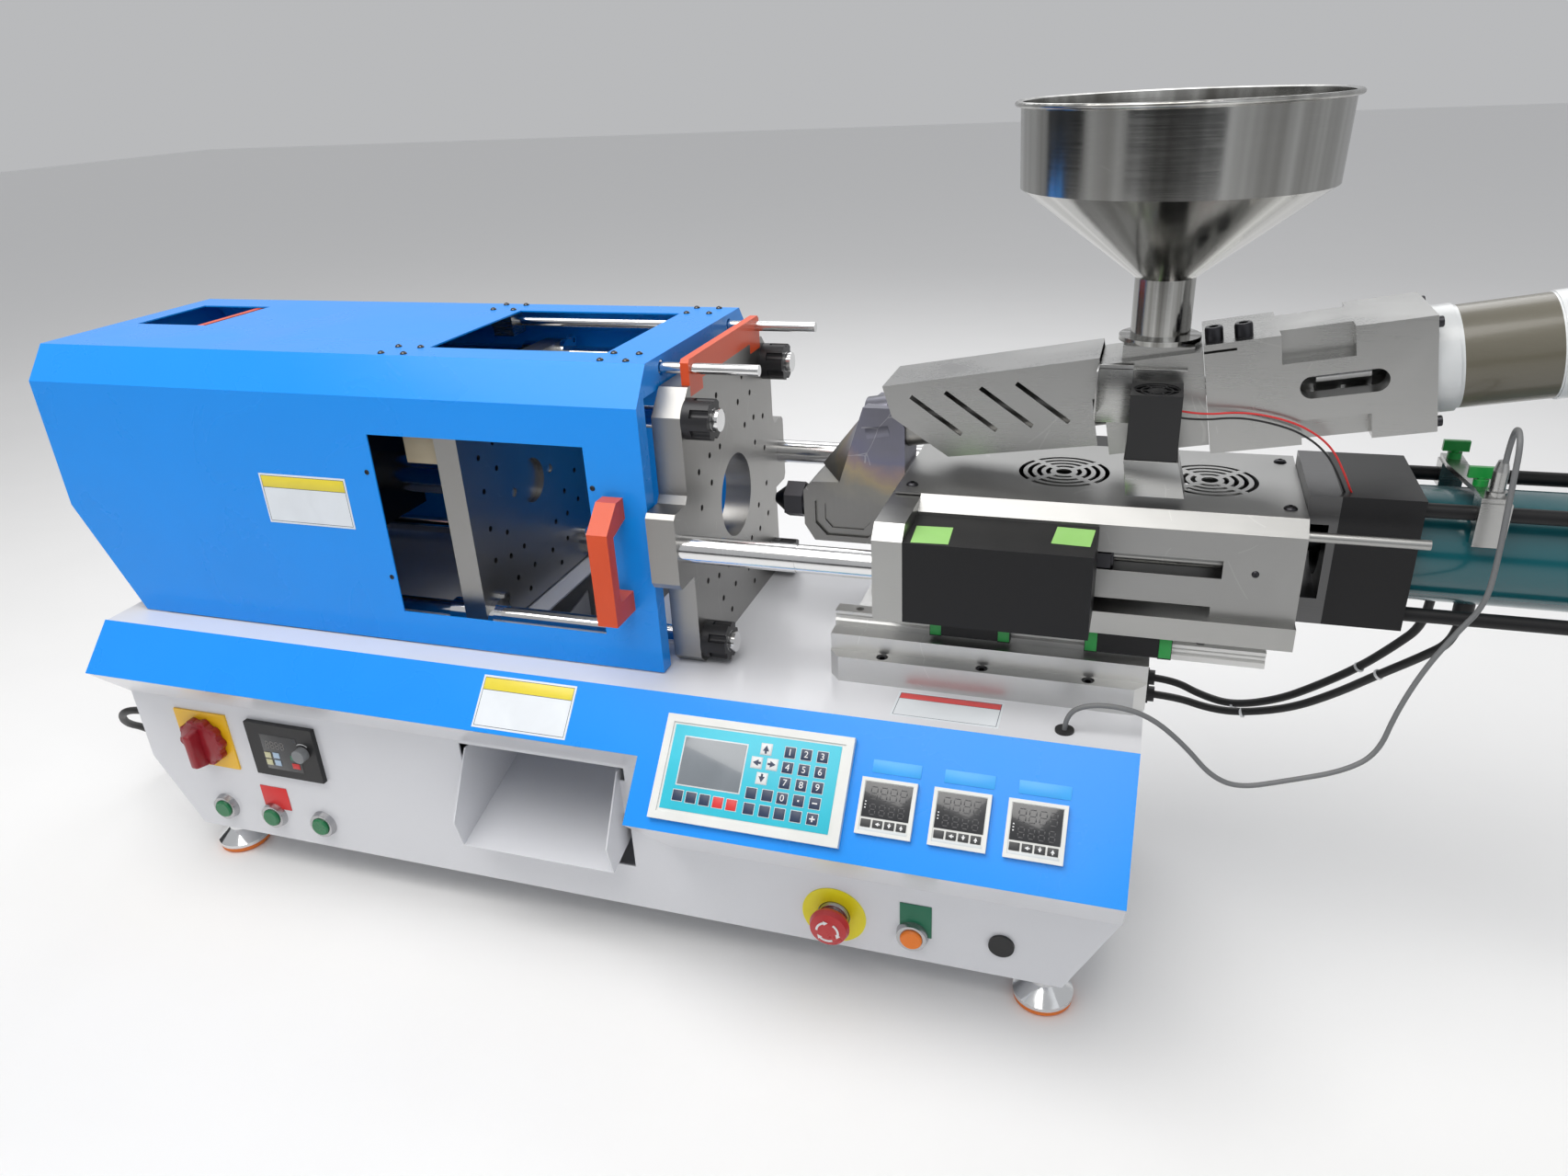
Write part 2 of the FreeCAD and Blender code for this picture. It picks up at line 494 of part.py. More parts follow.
def build_clamp():
    hole = 3.0
    bores = [(y, z, dim.bar_radius + 0.02) for y, z in bar_places]
    bores += [(carriage_rod_front, axis_z, dim.carriage_rod_radius + 0.02),
              (carriage_rod_back, axis_z, dim.carriage_rod_radius + 0.02)]
    fixed = padded("fixed_platen", "YZ_Plane", fixed_back, platen_outline(), "dim.platen_thickness",
                   bores + [(axis_y, axis_z, "platen_bore")] + [(y, z, hole) for y, z in mould_holes()])
    pocket(fixed, "bracket_seat_front", "YZ_Plane", fixed_face - 8.0, 20.0,
           rectangle(bracket_front, platen_top - 10, bracket_front + 30, platen_top + 5), (), True)
    pocket(fixed, "bracket_seat_back", "YZ_Plane", fixed_face - 8.0, 20.0,
           rectangle(bracket_back - 30, platen_top - 10, bracket_back, platen_top + 5), (), True)
    node("fixed_platen", fixed)

    # The corners are cut by 11, or by less where the bushings need the wall.
    bushing = dim.bar_radius + 4.5
    room = platen_back - axis_y - dim.bar_spread_y + moving_high - axis_z - dim.bar_spread_z
    corner = min(11.0, room - math.sqrt(2) * (bushing + 1.0))
    outline = chamfered(platen_front, moving_low, platen_back, moving_high, corner, corner)
    moving = padded("moving_platen", "YZ_Plane", moving_back, outline, "dim.moving_thickness",
                    [(y, z, bushing + 0.02) for y, z in bar_places]
                    + [(y, z, hole) for y, z in mould_holes()])
    pocket(moving, "locating_recess", "YZ_Plane", moving_face - 6.0, 20.0, (), [(axis_y, axis_z, 24.0)],
           True)
    pins = [(axis_y + 38 * side, axis_z, 5.0) for side in (-1, 1)]
    pocket(moving, "ejector_holes", "YZ_Plane", moving_back - 5.0, 60.0, (), pins, True)
    node("moving_platen", moving)

    bushings = []
    for y, z in bar_places:
        sleeve = rod((moving_back - 22, y, z), bushing, dim.moving_thickness + 22 + 6)
        # The flange is an oval that points at the platen's centre, with a screw hole in each lobe.
        lean = 1 if (y > axis_y) == (z > axis_z) else -1
        lobes = [(y + side * 13.5, z + side * lean * 13.5) for side in (-1, 1)]
        flange = fuse(rod((moving_face, y, z), bushing + 3, 6.0),
                      *[rod((moving_face, *lobe), 6.0, 6.0) for lobe in lobes])
        screws = [rod((moving_face - 1, *lobe), 2.6, 9.0) for lobe in lobes]
        bore = rod((moving_back - 30, y, z), dim.bar_radius + dim.running_gap, 80.0)
        bushings.append(cut(fuse(sleeve, flange), bore, *screws))
    node("platen_bushings", *bushings)

    rear = padded("rear_platen", "YZ_Plane", rear_back, chamfered(platen_front, table, platen_back,
                                                                  rear_high, 16, 16),
                  "dim.rear_thickness",
                  [(y, z, dim.bar_radius + 0.02) for y, z in bar_places] + [(axis_y, axis_z, 30.0)])
    node("rear_platen", rear)

    bars, nuts = [], []
    for y, z in bar_places:
        start = rear_back - dim.nut_length - 4
        bars.append(rod((start, y, z), "dim.bar_radius", fixed_face + dim.nut_length + 6 - start))
        for face, way in ((fixed_face, 1), (rear_back, -1)):
            low = face if way > 0 else face - dim.nut_length
            slots = []
            for step in range(6):
                turn = math.radians(30 + 60 * step)
                reach = dim.nut_radius + 1.0
                start_x = low + 8 if way > 0 else low - 1
                slots.append(rod((start_x, y + reach * math.cos(turn), z + reach * math.sin(turn)), 4.2,
                                 dim.nut_length - 7))
            nuts.append(cut(rod((low, y, z), "dim.nut_radius", "dim.nut_length"),
                            rod((low - 1, y, z), dim.bar_radius + 0.02, dim.nut_length + 2), *slots))
    node("tie_bars", *bars, *nuts)

    # Clamp cylinder bolted to the rear platen, with its ram fixed to the moving platen.
    body_start = rear_face
    body_length = 190.0
    ram = dim.ram_radius
    tube = cut(fuse(rod((body_start, axis_y, axis_z), "dim.cylinder_radius", body_length),
                    box((body_start, axis_y - 60, axis_z - 60), 18, 120, 120),
                    box((body_start + body_length - 22, axis_y - 60, axis_z - 60), 22, 120, 120)),
               rod((body_start + 12, axis_y, axis_z), dim.cylinder_radius - 7, body_length - 34),
               rod((body_start, axis_y, axis_z), ram + 0.05, body_length + 20))
    node("clamp_cylinder", tube)
    ram_start = body_start + 62.0
    shaft = rod((ram_start, axis_y, axis_z), ram, moving_back - 12.0 - ram_start)
    piston = rod((ram_start, axis_y, axis_z), dim.cylinder_radius - 7.05, 18)
    flange = rod((moving_back - 12.0, axis_y, axis_z), 30.0, 12.0)
    node("clamp_ram", fuse(shaft, piston, flange))

    # Ejector plate on two pins that pass through the moving platen.
    bar = box((moving_back - 50, axis_y - 50, axis_z - 34), 10, 100, 68)
    clear = rod((moving_back - 55, axis_y, axis_z), ram + 2.0, 20)
    pins = [rod((moving_back - 42, axis_y + 38 * side, axis_z), 4.95,
                42 + dim.moving_thickness - 2) for side in (-1, 1)]
    node("ejector", cut(fuse(bar, *pins), clear))


def build_hood():
    wall = dim.hood_wall
    low = table + 1.5
    front, back = hood_front, hood_back

    def section(inset):
        return [(front + inset, low), (back - inset, low), (back - inset,
                                                            hood_top - dim.hood_chamfer_z - 0.4 * inset),
                (back - dim.hood_chamfer_y - 0.5 * inset,
                 hood_top - inset), (front + dim.hood_chamfer_y + 0.5 * inset, hood_top - inset),
                (front + inset, hood_top - dim.hood_chamfer_z - 0.4 * inset)]

    inner = section(wall)
    inner[0] = (inner[0][0], low - 5)
    inner[1] = (inner[1][0], low - 5)
    shell = extrude(section(0.0), "YZ", hood_left, "dim.hood_length")
    hollow = extrude(inner, "YZ", hood_left + wall, dim.hood_length - 2 * wall)
    # The right end is open inside a narrow flange that is deeper across the top.
    right_open = box((hood_right - 5, front + 16, low - 5), 10, dim.hood_width - 32,
                     hood_top - 28 - low + 5)
    rod_holes = [rod((hood_right - 5, y, rod_height), dim.rod_radius + 2, 10) for y in (rod_front,
                                                                                        rod_back)]
    window = box((window_left, front - 5, window_low), "dim.window_length", 10, "dim.window_height")
    roof = box((roof_left, axis_y - dim.roof_window_depth / 2, hood_top - 5), "dim.roof_window_length",
               "dim.roof_window_depth", 10)
    small = box((hood_left + 29, axis_y - 20, hood_top - 5), 96, 100, 10)
    cut_side = extrude([(hood_left - 5, low - 5), (hood_left + dim.hood_cut_run, low - 5),
                        (hood_left + dim.hood_cut_run, low), (hood_left,
                                table + dim.hood_cut_up), (hood_left - 5, table + dim.hood_cut_up)],
                       "XZ", front - 5, dim.hood_width + 10)
    screw_holes = [rod((x, front - 3, z), 2.0, 6, "Y") for x, z in window_screws]
    node("safety_hood", cut(shell, hollow, right_open, window, roof, small, cut_side, *rod_holes,
                            *screw_holes))

    # Orange bow handle beside the window, and a black one on the left end.
    x, z, tall, out, wide = window_left + dim.window_length + 14, table + 66.0, 112.0, 38.0, 20.0
    outline = [(front, z), (front, z + 20), (front - out + 12, z + 20), (front - out + 12, z + tall - 28),
               (front, z + tall - 20), (front, z + tall), (front - 14, z + tall), (front - out,
                       z + tall - 22), (front - out, z)]
    bow = extrude(outline, "YZ", x, wide)
    end_z = table + 142.0
    grip = rod((hood_left - 26, 128.0, end_z), 8.0, 78.0, "Z")
    feet = [box((hood_left - 26, 121.0, end_z + lift), 26, 14, 14) for lift in (0.0, 64.0)]
    node("hood_handles", bow, fuse(grip, *feet))

    # Four bearing blocks under the roof run on the two guide rods.
    blocks = []
    for x in (roof_left - 30, roof_left + dim.roof_window_length + 4):
        for y in (rod_front, rod_back):
            block = box((x, y - 13, rod_height - 14), 24, 26, hood_top - dim.hood_wall - rod_height + 14)
            collar = rod((x - 4 if x < roof_left else x + 24, y, rod_height), 9.5, 4.0)
            blocks.append(cut(fuse(block, collar), rod((x - 10, y, rod_height),
                                                       dim.rod_radius + dim.running_gap, 50)))
    node("hood_bearings", *blocks)

    start = rear_face - 12.0
    length = fixed_face + 63.0 - start
    rods = [rod((start, y, rod_height), "dim.rod_radius", length) for y in (rod_front, rod_back)]
    for y in (carriage_rod_front, carriage_rod_back):
        shaft = rod((fixed_back, y, axis_z), "dim.carriage_rod_radius", carriage_rod_end - fixed_back)
        groove = cut(rod((-298.0, y, axis_z), dim.carriage_rod_radius + 2, 1.2),
                     rod((-299.0, y, axis_z), dim.carriage_rod_radius - 0.6, 3.2))
        rods.append(cut(shaft, groove))
    node("guide_rods", *rods)

    brackets = []
    for x, top in ((fixed_face - 8.0, platen_top), (rear_face - 10.0, rear_high)):
        bar = extrude(chamfered(bracket_front, top, bracket_back, rod_height + 9.5, 3, 3), "YZ", x, 8.0)
        parts = [bar]
        if top == platen_top:
            parts += [box((x, y, top - 10), 8.0, 30, 14) for y in (bracket_front, bracket_back - 30)]
        else:
            parts += [box((x, y, top), 8.0, 30, 10) for y in (bracket_front, bracket_back - 30)]
        bores = [rod((x - 5, y, rod_height), dim.rod_radius + 0.02, 20) for y in (rod_front, rod_back)]
        brackets.append(cut(fuse(*parts), *bores))
    node("hood_rod_brackets", *brackets)


window_left = hood_right - 285.2
window_low = table + 36.0
roof_left = hood_right - 240.0
window_screws = [(window_left - 8.5, table + 185.0), (window_left - 6.0, table + 74.0),
                 (window_left + dim.window_length + 5.0, table + 185.0)]
carriage_rod_end = -130.0
build_clamp()
build_hood()


# Injection carriage: it runs on two rails on the machined block, and carries the plunger unit,
# the tilted plasticising barrel with its gear motor, and the injection cylinder.
cover_end = 110.0
block_left = 1.0 - dim.block_length
block_front, block_back = 58.5, 2 * axis_y - 58.5
step_front = block_front + 13.5
rail_y = (axis_y - 79.5, axis_y + 79.5)
rail_top = table + dim.step_height + 15.0
plate_low = rail_top + 11.0
plate_top = plate_low + dim.plate_thickness
plate_right = cover_end + 0.3
front_face = -228.0
front_back = front_face + dim.front_thickness
cover_front = 85.0
cover_back = 2 * axis_y - cover_front
cover_top = table + 175.8
hopper_x = -16.0
TILT = Placement(Vector(hopper_x, axis_y, table + 252.0), Rotation(Vector(0, 1, 0), -dim.tilt_degrees))
guide_y = (axis_y - 72.5, axis_y + 72.5)
head_left = 134.5
head_right = 195.0
tube_right = 398.0
half_head = dim.head_side / 2
tie_places = [(axis_y + side * 46.0, axis_z + level * 46.0) for side in (-1, 1) for level in (-1, 1)]
carriage_x = (-190.0, -54.0)
union_places = [(248.0, 163.0), (229.0, 190.0)]
union_low = axis_z - dim.tube_radius - 6.0


def build_rails():
    flange = extrude(chamfered(block_left, block_front, 1.0, block_back, 10, 12), "XY", table,
                     "dim.flange_height")
    step = box((block_left, step_front, table), "dim.block_length", 2 * (axis_y - step_front),
               "dim.step_height")
    trench = box((block_left - 5, rail_y[0] + 22, table + 20), dim.block_length + 10,
                 rail_y[1] - rail_y[0] - 44, 40)
    holes = []
    for x in (-231.0, -140.0, -48.0):
        for y in (block_front + 8, block_back - 8):
            holes += [rod((x, y, table - 1), 3.3, 40, "Z"), rod((x, y, table + dim.flange_height - 6),
                                                                5.5, 10, "Z")]
    rails = [cut(fuse(flange, step), trench, *holes)]
    for y in rail_y:
        z = table + dim.step_height
        blank = extrude([(y - 7.5, z), (y + 7.5, z), (y + 7.5, z + 5), (y + 5.5, z + 7), (y + 5.5, z + 9.5),
                         (y + 7.5, z + 12), (y + 7.5, z + 15), (y - 7.5, z + 15), (y - 7.5, z + 12),
                         (y - 5.5, z + 9.5), (y - 5.5, z + 7), (y - 7.5,
                                 z + 5)], "YZ", block_left, "dim.rail_length")
        bores = [rod((block_left + 22 + 60 * step, y, z - 1), 2.3, 20, "Z") for step in range(6)]
        bores += [rod((block_left + 22 + 60 * step, y, z + 10), 3.8, 10, "Z") for step in range(6)]
        rails.append(cut(blank, *bores))
    node("rail_block", *rails)
    cars = []
    for start in carriage_x:
        for y in rail_y:
            z = rail_top - 15.0
            outline = [(y - 17, z + 5), (y - 8.3, z + 5), (y - 8.3, z + 15.3), (y + 8.3, z + 15.3),
                       (y + 8.3, z + 5),
                       (y + 17, z + 5), (y + 17, z + 26), (y - 17, z + 26)]
            end = [(y - 16.5, z + 4), (y - 8.3, z + 4), (y - 8.3, z + 15.3), (y + 8.3, z + 15.3),
                   (y + 8.3, z + 4),
                   (y + 16.5, z + 4), (y + 16.5, z + 25.5), (y - 16.5, z + 25.5)]
            cars.append(fuse(extrude(outline, "YZ", start + 11, 50.0), extrude(end, "YZ", start, 11.0),
                             extrude(end, "YZ", start + 61, 11.0)))
    node("rail_carriages", *cars)


def build_frame():
    plate = box((front_face, cover_front - 10, plate_low), plate_right - front_face,
                cover_back - cover_front + 20,
                "dim.plate_thickness")
    ear_front, ear_back = carriage_rod_front - 16.5, carriage_rod_back + 16.5
    face = padded("front_plate", "YZ_Plane", front_face,
                  chamfered(ear_front, plate_top, ear_back, plate_top + 85, 12, 12)[2:6]
                  + [(ear_front, plate_top + 73), (ear_front, plate_top), (ear_back, plate_top)],
                  "dim.front_thickness",
                  [(carriage_rod_front, axis_z, dim.carriage_rod_radius + dim.running_gap),
                   (carriage_rod_back, axis_z, dim.carriage_rod_radius + dim.running_gap), (axis_y,
                                                                                            axis_z, 16.0)])
    outer = box((plate_right, axis_y - half_head, axis_z - half_head), head_left - plate_right,
                "dim.head_side", "dim.head_side")
    throat = rod((cover_end - 3, axis_y, axis_z), 34.0, 40)
    side = box((cover_end + 4, axis_y - half_head - 5, axis_z - 34), 14, dim.head_side + 10, 66)
    trigger = rod((cover_end - 40.0, cover_front + 9.0, axis_z + 31.0), 4.0, 127.0)
    posts = []
    for y in guide_y:
        post = box((62.0, y - 12, plate_top), 15, 24, axis_z + 36 - plate_top)
        guide = rod((front_back, y, axis_z), "dim.guide_radius", 72 - front_back)
        posts.append(fuse(post, guide, trigger) if y < axis_y else fuse(post, guide))
    node("carriage_frame", plate, cut(outer, throat, side), face, *posts)


def build_nozzle():
    front, back = axis_y - 26.5, axis_y + 26.5
    lower = extrude([(-327.0, axis_z - 15), (-317.0, axis_z - 31), (front_face, axis_z - 31),
                     (front_face, axis_z + 30),
                     (-292.0, axis_z + 30), (-318.6, axis_z + 29), (-327.0,
                             axis_z + 20)], "XZ", front, back - front)
    rise = axis_z + 29.5
    crown = table + 235.0
    near, far = doc.addObject("Sketcher::SketchObject", "Near"), doc.addObject("Sketcher::SketchObject",
                                                                               "Far")
    draw(near, [(-291.0, rise), (front_face, rise), (front_face, crown - 18), (-236.0, crown),
                (-267.0, crown)])
    draw(far, [(-322.0, rise), (front_face, rise), (front_face, crown - 18), (-236.0, crown),
               (-262.0, crown)])
    near.Placement = Placement(Vector(0, front, 0), PLANE["XZ"])
    far.Placement = Placement(Vector(0, back, 0), PLANE["XZ"])
    neck = doc.addObject("Part::Loft", "Neck")
    neck.Sections, neck.Solid, neck.Ruled = [near, far], True, True
    boss = rod((-252.0, 0, 0), 27.0, 22.0, "X", TILT)
    melt = rod((-300.0, axis_y, axis_z), 11.0, 80.0)
    pocket_cut = extrude(chamfered(-316.0, axis_z - 25, -253.0, axis_z + 21, 11, 12), "XZ", front - 5, 8.0)
    inner_cut = extrude(chamfered(-307.0, axis_z - 18, -262.0, axis_z + 14, 7, 8), "XZ", front - 5, 9.5)
    seat = rod((-240.0, 0, 0), dim.barrel_radius + 0.02, 40.0, "X", TILT)
    tip_seat = rod((-330.0, axis_y, axis_z), 10.0, 20.0)
    node("nozzle_block", cut(fuse(lower, neck, boss), melt, pocket_cut, inner_cut, seat, tip_seat))
    body = fuse(hexagon((-351.0, axis_y, axis_z), 32.0, 18.5), rod((-332.5, axis_y, axis_z), 15.0, 5.5),
                rod((-327.0, axis_y, axis_z), 9.98, 17.0), cone((-363.5, axis_y, axis_z), 5.0, 14.5, 12.5))
    node("injection_nozzle", cut(body, rod((-370.0, axis_y, axis_z), 1.5, 70.0)))


def build_cover():
    wall = dim.cover_wall
    left = front_back

    def section(inset, low):
        return [(cover_front + inset, low), (cover_back - inset, low),
                (cover_back - inset, cover_top - 12 - 0.4 * inset),
                (cover_back - 13 - 0.5 * inset, cover_top - inset), (cover_front + 13 + 0.5 * inset,
                                                                     cover_top - inset),
                (cover_front + inset, cover_top - 12 - 0.4 * inset)]

    skin_solid = extrude(section(0.0, plate_top), "YZ", left, cover_end - left)
    lid = box((front_face + 3, cover_front + 13, cover_top - wall), left - front_face,
              cover_back - cover_front - 26, wall)
    hollow = extrude(section(wall, plate_top - 5), "YZ", left - 1, cover_end - left + 5)
    step = box((left - 1, cover_front - 5, plate_top - 1), 247.0, cover_back - cover_front + 10, 10.0)
    tools = [hollow, step]
    for low in (cover_front - 10.0, cover_back - 5.0):
        tools.append(box((-150.0, low, axis_z - 8), 200.0, 15.0, 16.0))
    for x in (-87.0, 37.0):
        tools += grille(x)
    node("injection_cover", cut(fuse(skin_solid, lid), *tools))

    boxes = []
    for low, high in ((carriage_rod_front - 16.5, cover_front), (cover_back, carriage_rod_back + 16.5)):
        shell = box((left, low, plate_top), 153.0, high - low, 73.0)
        inside = box((left - 1, low + 3, plate_top + 3), 151.0, high - low - 6, 67.0)
        boxes.append(cut(shell, inside))
    node("side_boxes", *boxes)


def grille(x):
    # Four rings of slots, left joined by four bridges, about a round centre hole.
    rings = []
    for inner, outer in ((12.0, 16.0), (20.0, 24.0), (28.0, 32.0), (36.0, dim.grille_radius)):
        ring = cut(rod((x, axis_y, cover_top - 6), outer, 12, "Z"),
                   rod((x, axis_y, cover_top - 7), inner, 14, "Z"))
        rings.append(ring)
    bridges = []
    for turn in (45, 135):
        frame = Placement(Vector(x, axis_y, cover_top - 8), Rotation(Vector(0, 0, 1), turn))
        bridges.append(box((-50, -3.0, 0), 100, 6.0, 16, frame))
    return [cut(fuse(*rings), *bridges), rod((x, axis_y, cover_top - 6), 7.0, 12, "Z")]


def build_barrel():
    barrel = cut(rod((-240.0, 0, 0), "dim.barrel_radius", 201.0, "X", TILT),
                 rod((-225.0, 0, 0), dim.screw_radius + 0.1, 300.0, "X", TILT))
    node("plasticising_barrel", barrel)
    start = -222.0
    tip = cone((start, 0, 0), 2.0, dim.screw_radius, 12.0, "X", TILT)
    core = rod((start + 12, 0, 0), dim.screw_radius, 150.0, "X", TILT)
    shank = rod((start + 162, 0, 0), dim.screw_radius - 1.0, 190.0, "X", TILT)
    coupling = cut(rod((124.0, 0, 0), 17.0, 40.0, "X", TILT), box((142.0, -20, -20), 3.0, 40, 12, TILT),
                   box((142.0, -20, 8), 3.0, 40, 12, TILT))
    shaft = rod((160.0, 0, 0), 7.0, 44.0, "X", TILT)
    node("plasticising_screw", fuse(tip, core, shank, coupling, shaft))

    half = dim.barrel_radius + 13.5
    wall = dim.cover_wall
    side = [(-226.0, 44.0), (-222.0, 15.0), (-177.0, -27.0), (-39.2, -31.0), (-39.2, 44.0)]
    block = extrude(side, "XZ", -half, 2 * half, (), TILT)
    hollow = box((-240, -half + wall, -60), 220, 2 * (half - wall), 60 + 44 - wall, TILT)
    slots = []
    for step in range(4):
        frame = TILT * Placement(Vector(-182.0 + 31.0 * step, 0, 12.0), Rotation(Vector(0, 1, 0), 44.5))
        slots.append(box((-28, -60, -2), 56, 120, 4.0, frame))
    mouth = box((-48.0, -half - 5, -60), 30, 2 * half + 10, 70, TILT)
    node("barrel_cover", cut(block, hollow, *slots, mouth))

    flange_low = table + 298.0
    feed = fuse(box((-39.0, -36.5, -40.0), 80.0, 73.0, 78.0, TILT),
                box((hopper_x - 28, axis_y - 30, flange_low - 60), 56, 60, 60))
    feed = cut(feed, rod((-60.0, 0, 0), dim.screw_radius + 0.1, 140.0, "X", TILT),
               rod((hopper_x, axis_y, table + 252.0), 14.0, 80.0, "Z"))
    node("feed_block", feed)

    wall = dim.hopper_wall
    neck, rim = dim.neck_radius, dim.hopper_radius
    low, neck_top, shoulder, top = flange_low, table + 349.0, table + 421.0, table + 486.0
    profile = [(neck - wall, low), (neck + 9, low), (neck + 9, low + 4), (neck, low + 4),
               (neck, neck_top), (rim - 5, shoulder),
               (rim - 3, top - 5), (rim, top - 4), (rim + 1.5, top - 1), (rim, top), (rim - 3 - wall,
                                                                                      top - 1),
               (rim - 5 - wall, shoulder + 0.8), (neck - wall, neck_top + 1.0)]
    node("hopper", revolve(profile, (hopper_x, axis_y, 0)))

    clamp = box((41.3, -45.0, -45.0), 54.2, 90.0, 90.0, TILT)
    split = box((41.0, -46, 38), 25.0, 92, 2.0, TILT)
    clamp = cut(clamp, rod((30.0, 0, 0), 22.0, 80, "X", TILT), split)
    side = dim.housing_side / 2
    housing = box((95.5, -side, -side), 109.5, "dim.housing_side", "dim.housing_side", TILT)
    tools = [rod((90.0, 0, 0), 26.0, 140.0, "X", TILT)]
    for y in (-side - 1, side - 17):
        tools += [box((98.0, y, 22), 52.0, 18, 40, TILT), box((110.0, y, -side - 20), 50.0, 18, 40, TILT)]
    slot = fuse(box((119.0, -side - 5, -8), 45.0, 2 * side + 10, 18.0, TILT),
                *[rod((u, -side - 5, 1.0), 9.0, 2 * side + 10, "Y", TILT) for u in (119.0, 164.0)])
    node("drive_housing", clamp, cut(housing, slot, *tools))
    radius = dim.motor_radius
    motor = fuse(rod((205.0, 0, 0), radius + 2, 16.0, "X", TILT),
                 rod((221.0, 0, 0), "dim.motor_radius", 68.0, "X", TILT),
                 rod((289.0, 0, 0), radius + 1, 58.0, "X", TILT), cone((347.0, 0, 0), radius + 1,
                                                                       radius - 5, 8.0, "X", TILT))
    node("gear_motor", cut(motor, rod((200.0, 0, 0), 7.5, 12.0, "X", TILT)))


def build_fan():
    # A small square blower on a bent bracket in front of the feed block, with an open duct under it.
    x, y, low, side, tall = -34.0, axis_y - 76.6, table + 214.0, 40.0, 56.0
    case = box((x, y, low), side, side, tall)
    bore = rod((x + side / 2, y + side / 2, low - 5), 18.0, tall + 10, "Z")
    ribs = [box((x + side / 2 - 18.5, y + side / 2 - 1, low + 1), 37, 2, 2.0),
            box((x + side / 2 - 1, y + side / 2 - 18.5, low + 1), 2, 37, 2.0)]
    motor = rod((x + side / 2, y + side / 2, low + 1), 9.0, 24.0, "Z")
    node("feed_fan", fuse(cut(case, bore), *ribs, motor))
    hub = rod((x + side / 2, y + side / 2, low + 25.3), 9.0, 20.0, "Z")
    blades = []
    for step in range(7):
        frame = Placement(Vector(x + side / 2, y + side / 2, low + 28.0),
                          Rotation(Vector(0, 0, 1), 360 / 7 * step)) * \
            Placement(Vector(0, 0, 7), Rotation(Vector(1, 0, 0), 40))
        blades.append(box((7.0, -0.8, -7.0), 10.3, 1.6, 14.0, frame))
    node("feed_fan_rotor", fuse(hub, *blades))


def build_cylinder():
    half = half_head
    start, inner = head_left, dim.tube_radius - 6
    bores = [(y, z, dim.tie_rod_radius + 0.02) for y, z in tie_places]
    plate = [(axis_y - half, axis_z - half), (axis_y + half, axis_z - half),
             (axis_y + half, axis_z + half), (axis_y - half, axis_z + half)]
    front = extrude(plate, "YZ", start, head_right - start, bores + [(axis_y, axis_z, 14.05)])
    rear = extrude(plate, "YZ", tube_right, cylinder_end - tube_right, bores)
    bars = [rod((start, y, z), "dim.tie_rod_radius", cylinder_end - start) for y, z in tie_places]
    room = rod((start, axis_y, axis_z), dim.tube_radius + 0.05, 300.0)
    unions = [cut(rod((x, y, union_low), 8.0, 30.0, "Z"), room) for x, y in union_places]
    node("cylinder_frame", front, rear, *bars, *unions)
    node("cylinder_tube", cut(rod((head_right, axis_y, axis_z), "dim.tube_radius", tube_right - head_right),
                              rod((head_right - 5, axis_y, axis_z), inner, tube_right - head_right + 10)))
    piston_x = 255.0
    ram = fuse(rod((-36.0, axis_y, axis_z), 14.0, piston_x + 36),
               rod((piston_x - 5, axis_y, axis_z), inner - 0.05, 25.0),
               box((-60.0, axis_y - 86, axis_z - 22), 24.0, 172, 44), rod((-290.0, axis_y, axis_z),
                                                                          10.95, 231.0))
    keys = [box((-58.0, y, axis_z - 6.5), 20.0, 7.2, 13.0) for y in (axis_y - 91.2, axis_y + 84.0)]
    bores = [rod((-70.0, y, axis_z), dim.guide_radius + dim.running_gap, 50.0) for y in guide_y]
    node("plunger", cut(fuse(ram, *keys), *bores))


def build_sensor():
    y_rod, z_rod = tie_places[1]
    y_far = tie_places[3][0]
    tie = dim.tie_rod_radius + 0.02
    left = 231.0
    block = cut(fuse(box((left, y_rod - 11, z_rod - 9), 22, 22, 21),
                     box((left, y_rod - 11, z_rod - 24), 22, 10, 16)),
                rod((left - 5, y_rod, z_rod), tie, 40))
    far = cut(box((left - 10, y_far - 9, z_rod - 9), 18, 18, 21), rod((left - 15, y_far, z_rod), tie, 40),
              rod((left - 1, y_far - 3, z_rod + 8), 2.6, 5, "Z"))
    bar = extrude([(left - 9, y_far + 8), (left - 9, y_far - 20), (left, y_rod + 14),
                   (left, y_rod - 10), (left + 21, y_rod - 10),
                   (left + 21, y_rod + 14), (left + 7, y_far - 20), (left + 7,
                                                                     y_far + 8)], "XY", z_rod + 12, 4.0,
                  [(left - 1, y_far - 3, 2.6), (left + 5, y_rod + 22, 2.6)])
    x, y, low = left + 11, y_rod - 1, z_rod + 16
    sensor = fuse(rod((x, y, low), 7.5, 4.0, "Z"), rod((x, y, low + 4), 5.5, 16.0, "Z"),
                  cone((x, y, low + 20), 5.5, 3.5, 8.0, "Z"))
    node("sensor_mount", block, far, bar, sensor)
    for name, px, py in (("thumbscrew_rear", left - 1, y_far - 3),
                         ("thumbscrew_front", left + 5, y_rod + 22)):
        base = z_rod + 16.0
        profile = [(0.0, base), (5.5, base), (5.5, base + 5), (3.0, base + 5), (3.0, base + 7),
                   (0.0, base + 7)]
        head = fuse(revolve(profile, (px, py, 0)), box((px - 10, py - 2.2, base + 6), 20, 4.4, 9),
                    rod((px, py, base - 7.0), 2.55, 8.0, "Z"))
        node(name, head)


build_rails()
build_frame()
build_nozzle()
build_cover()
build_barrel()
build_fan()
build_cylinder()
build_sensor()


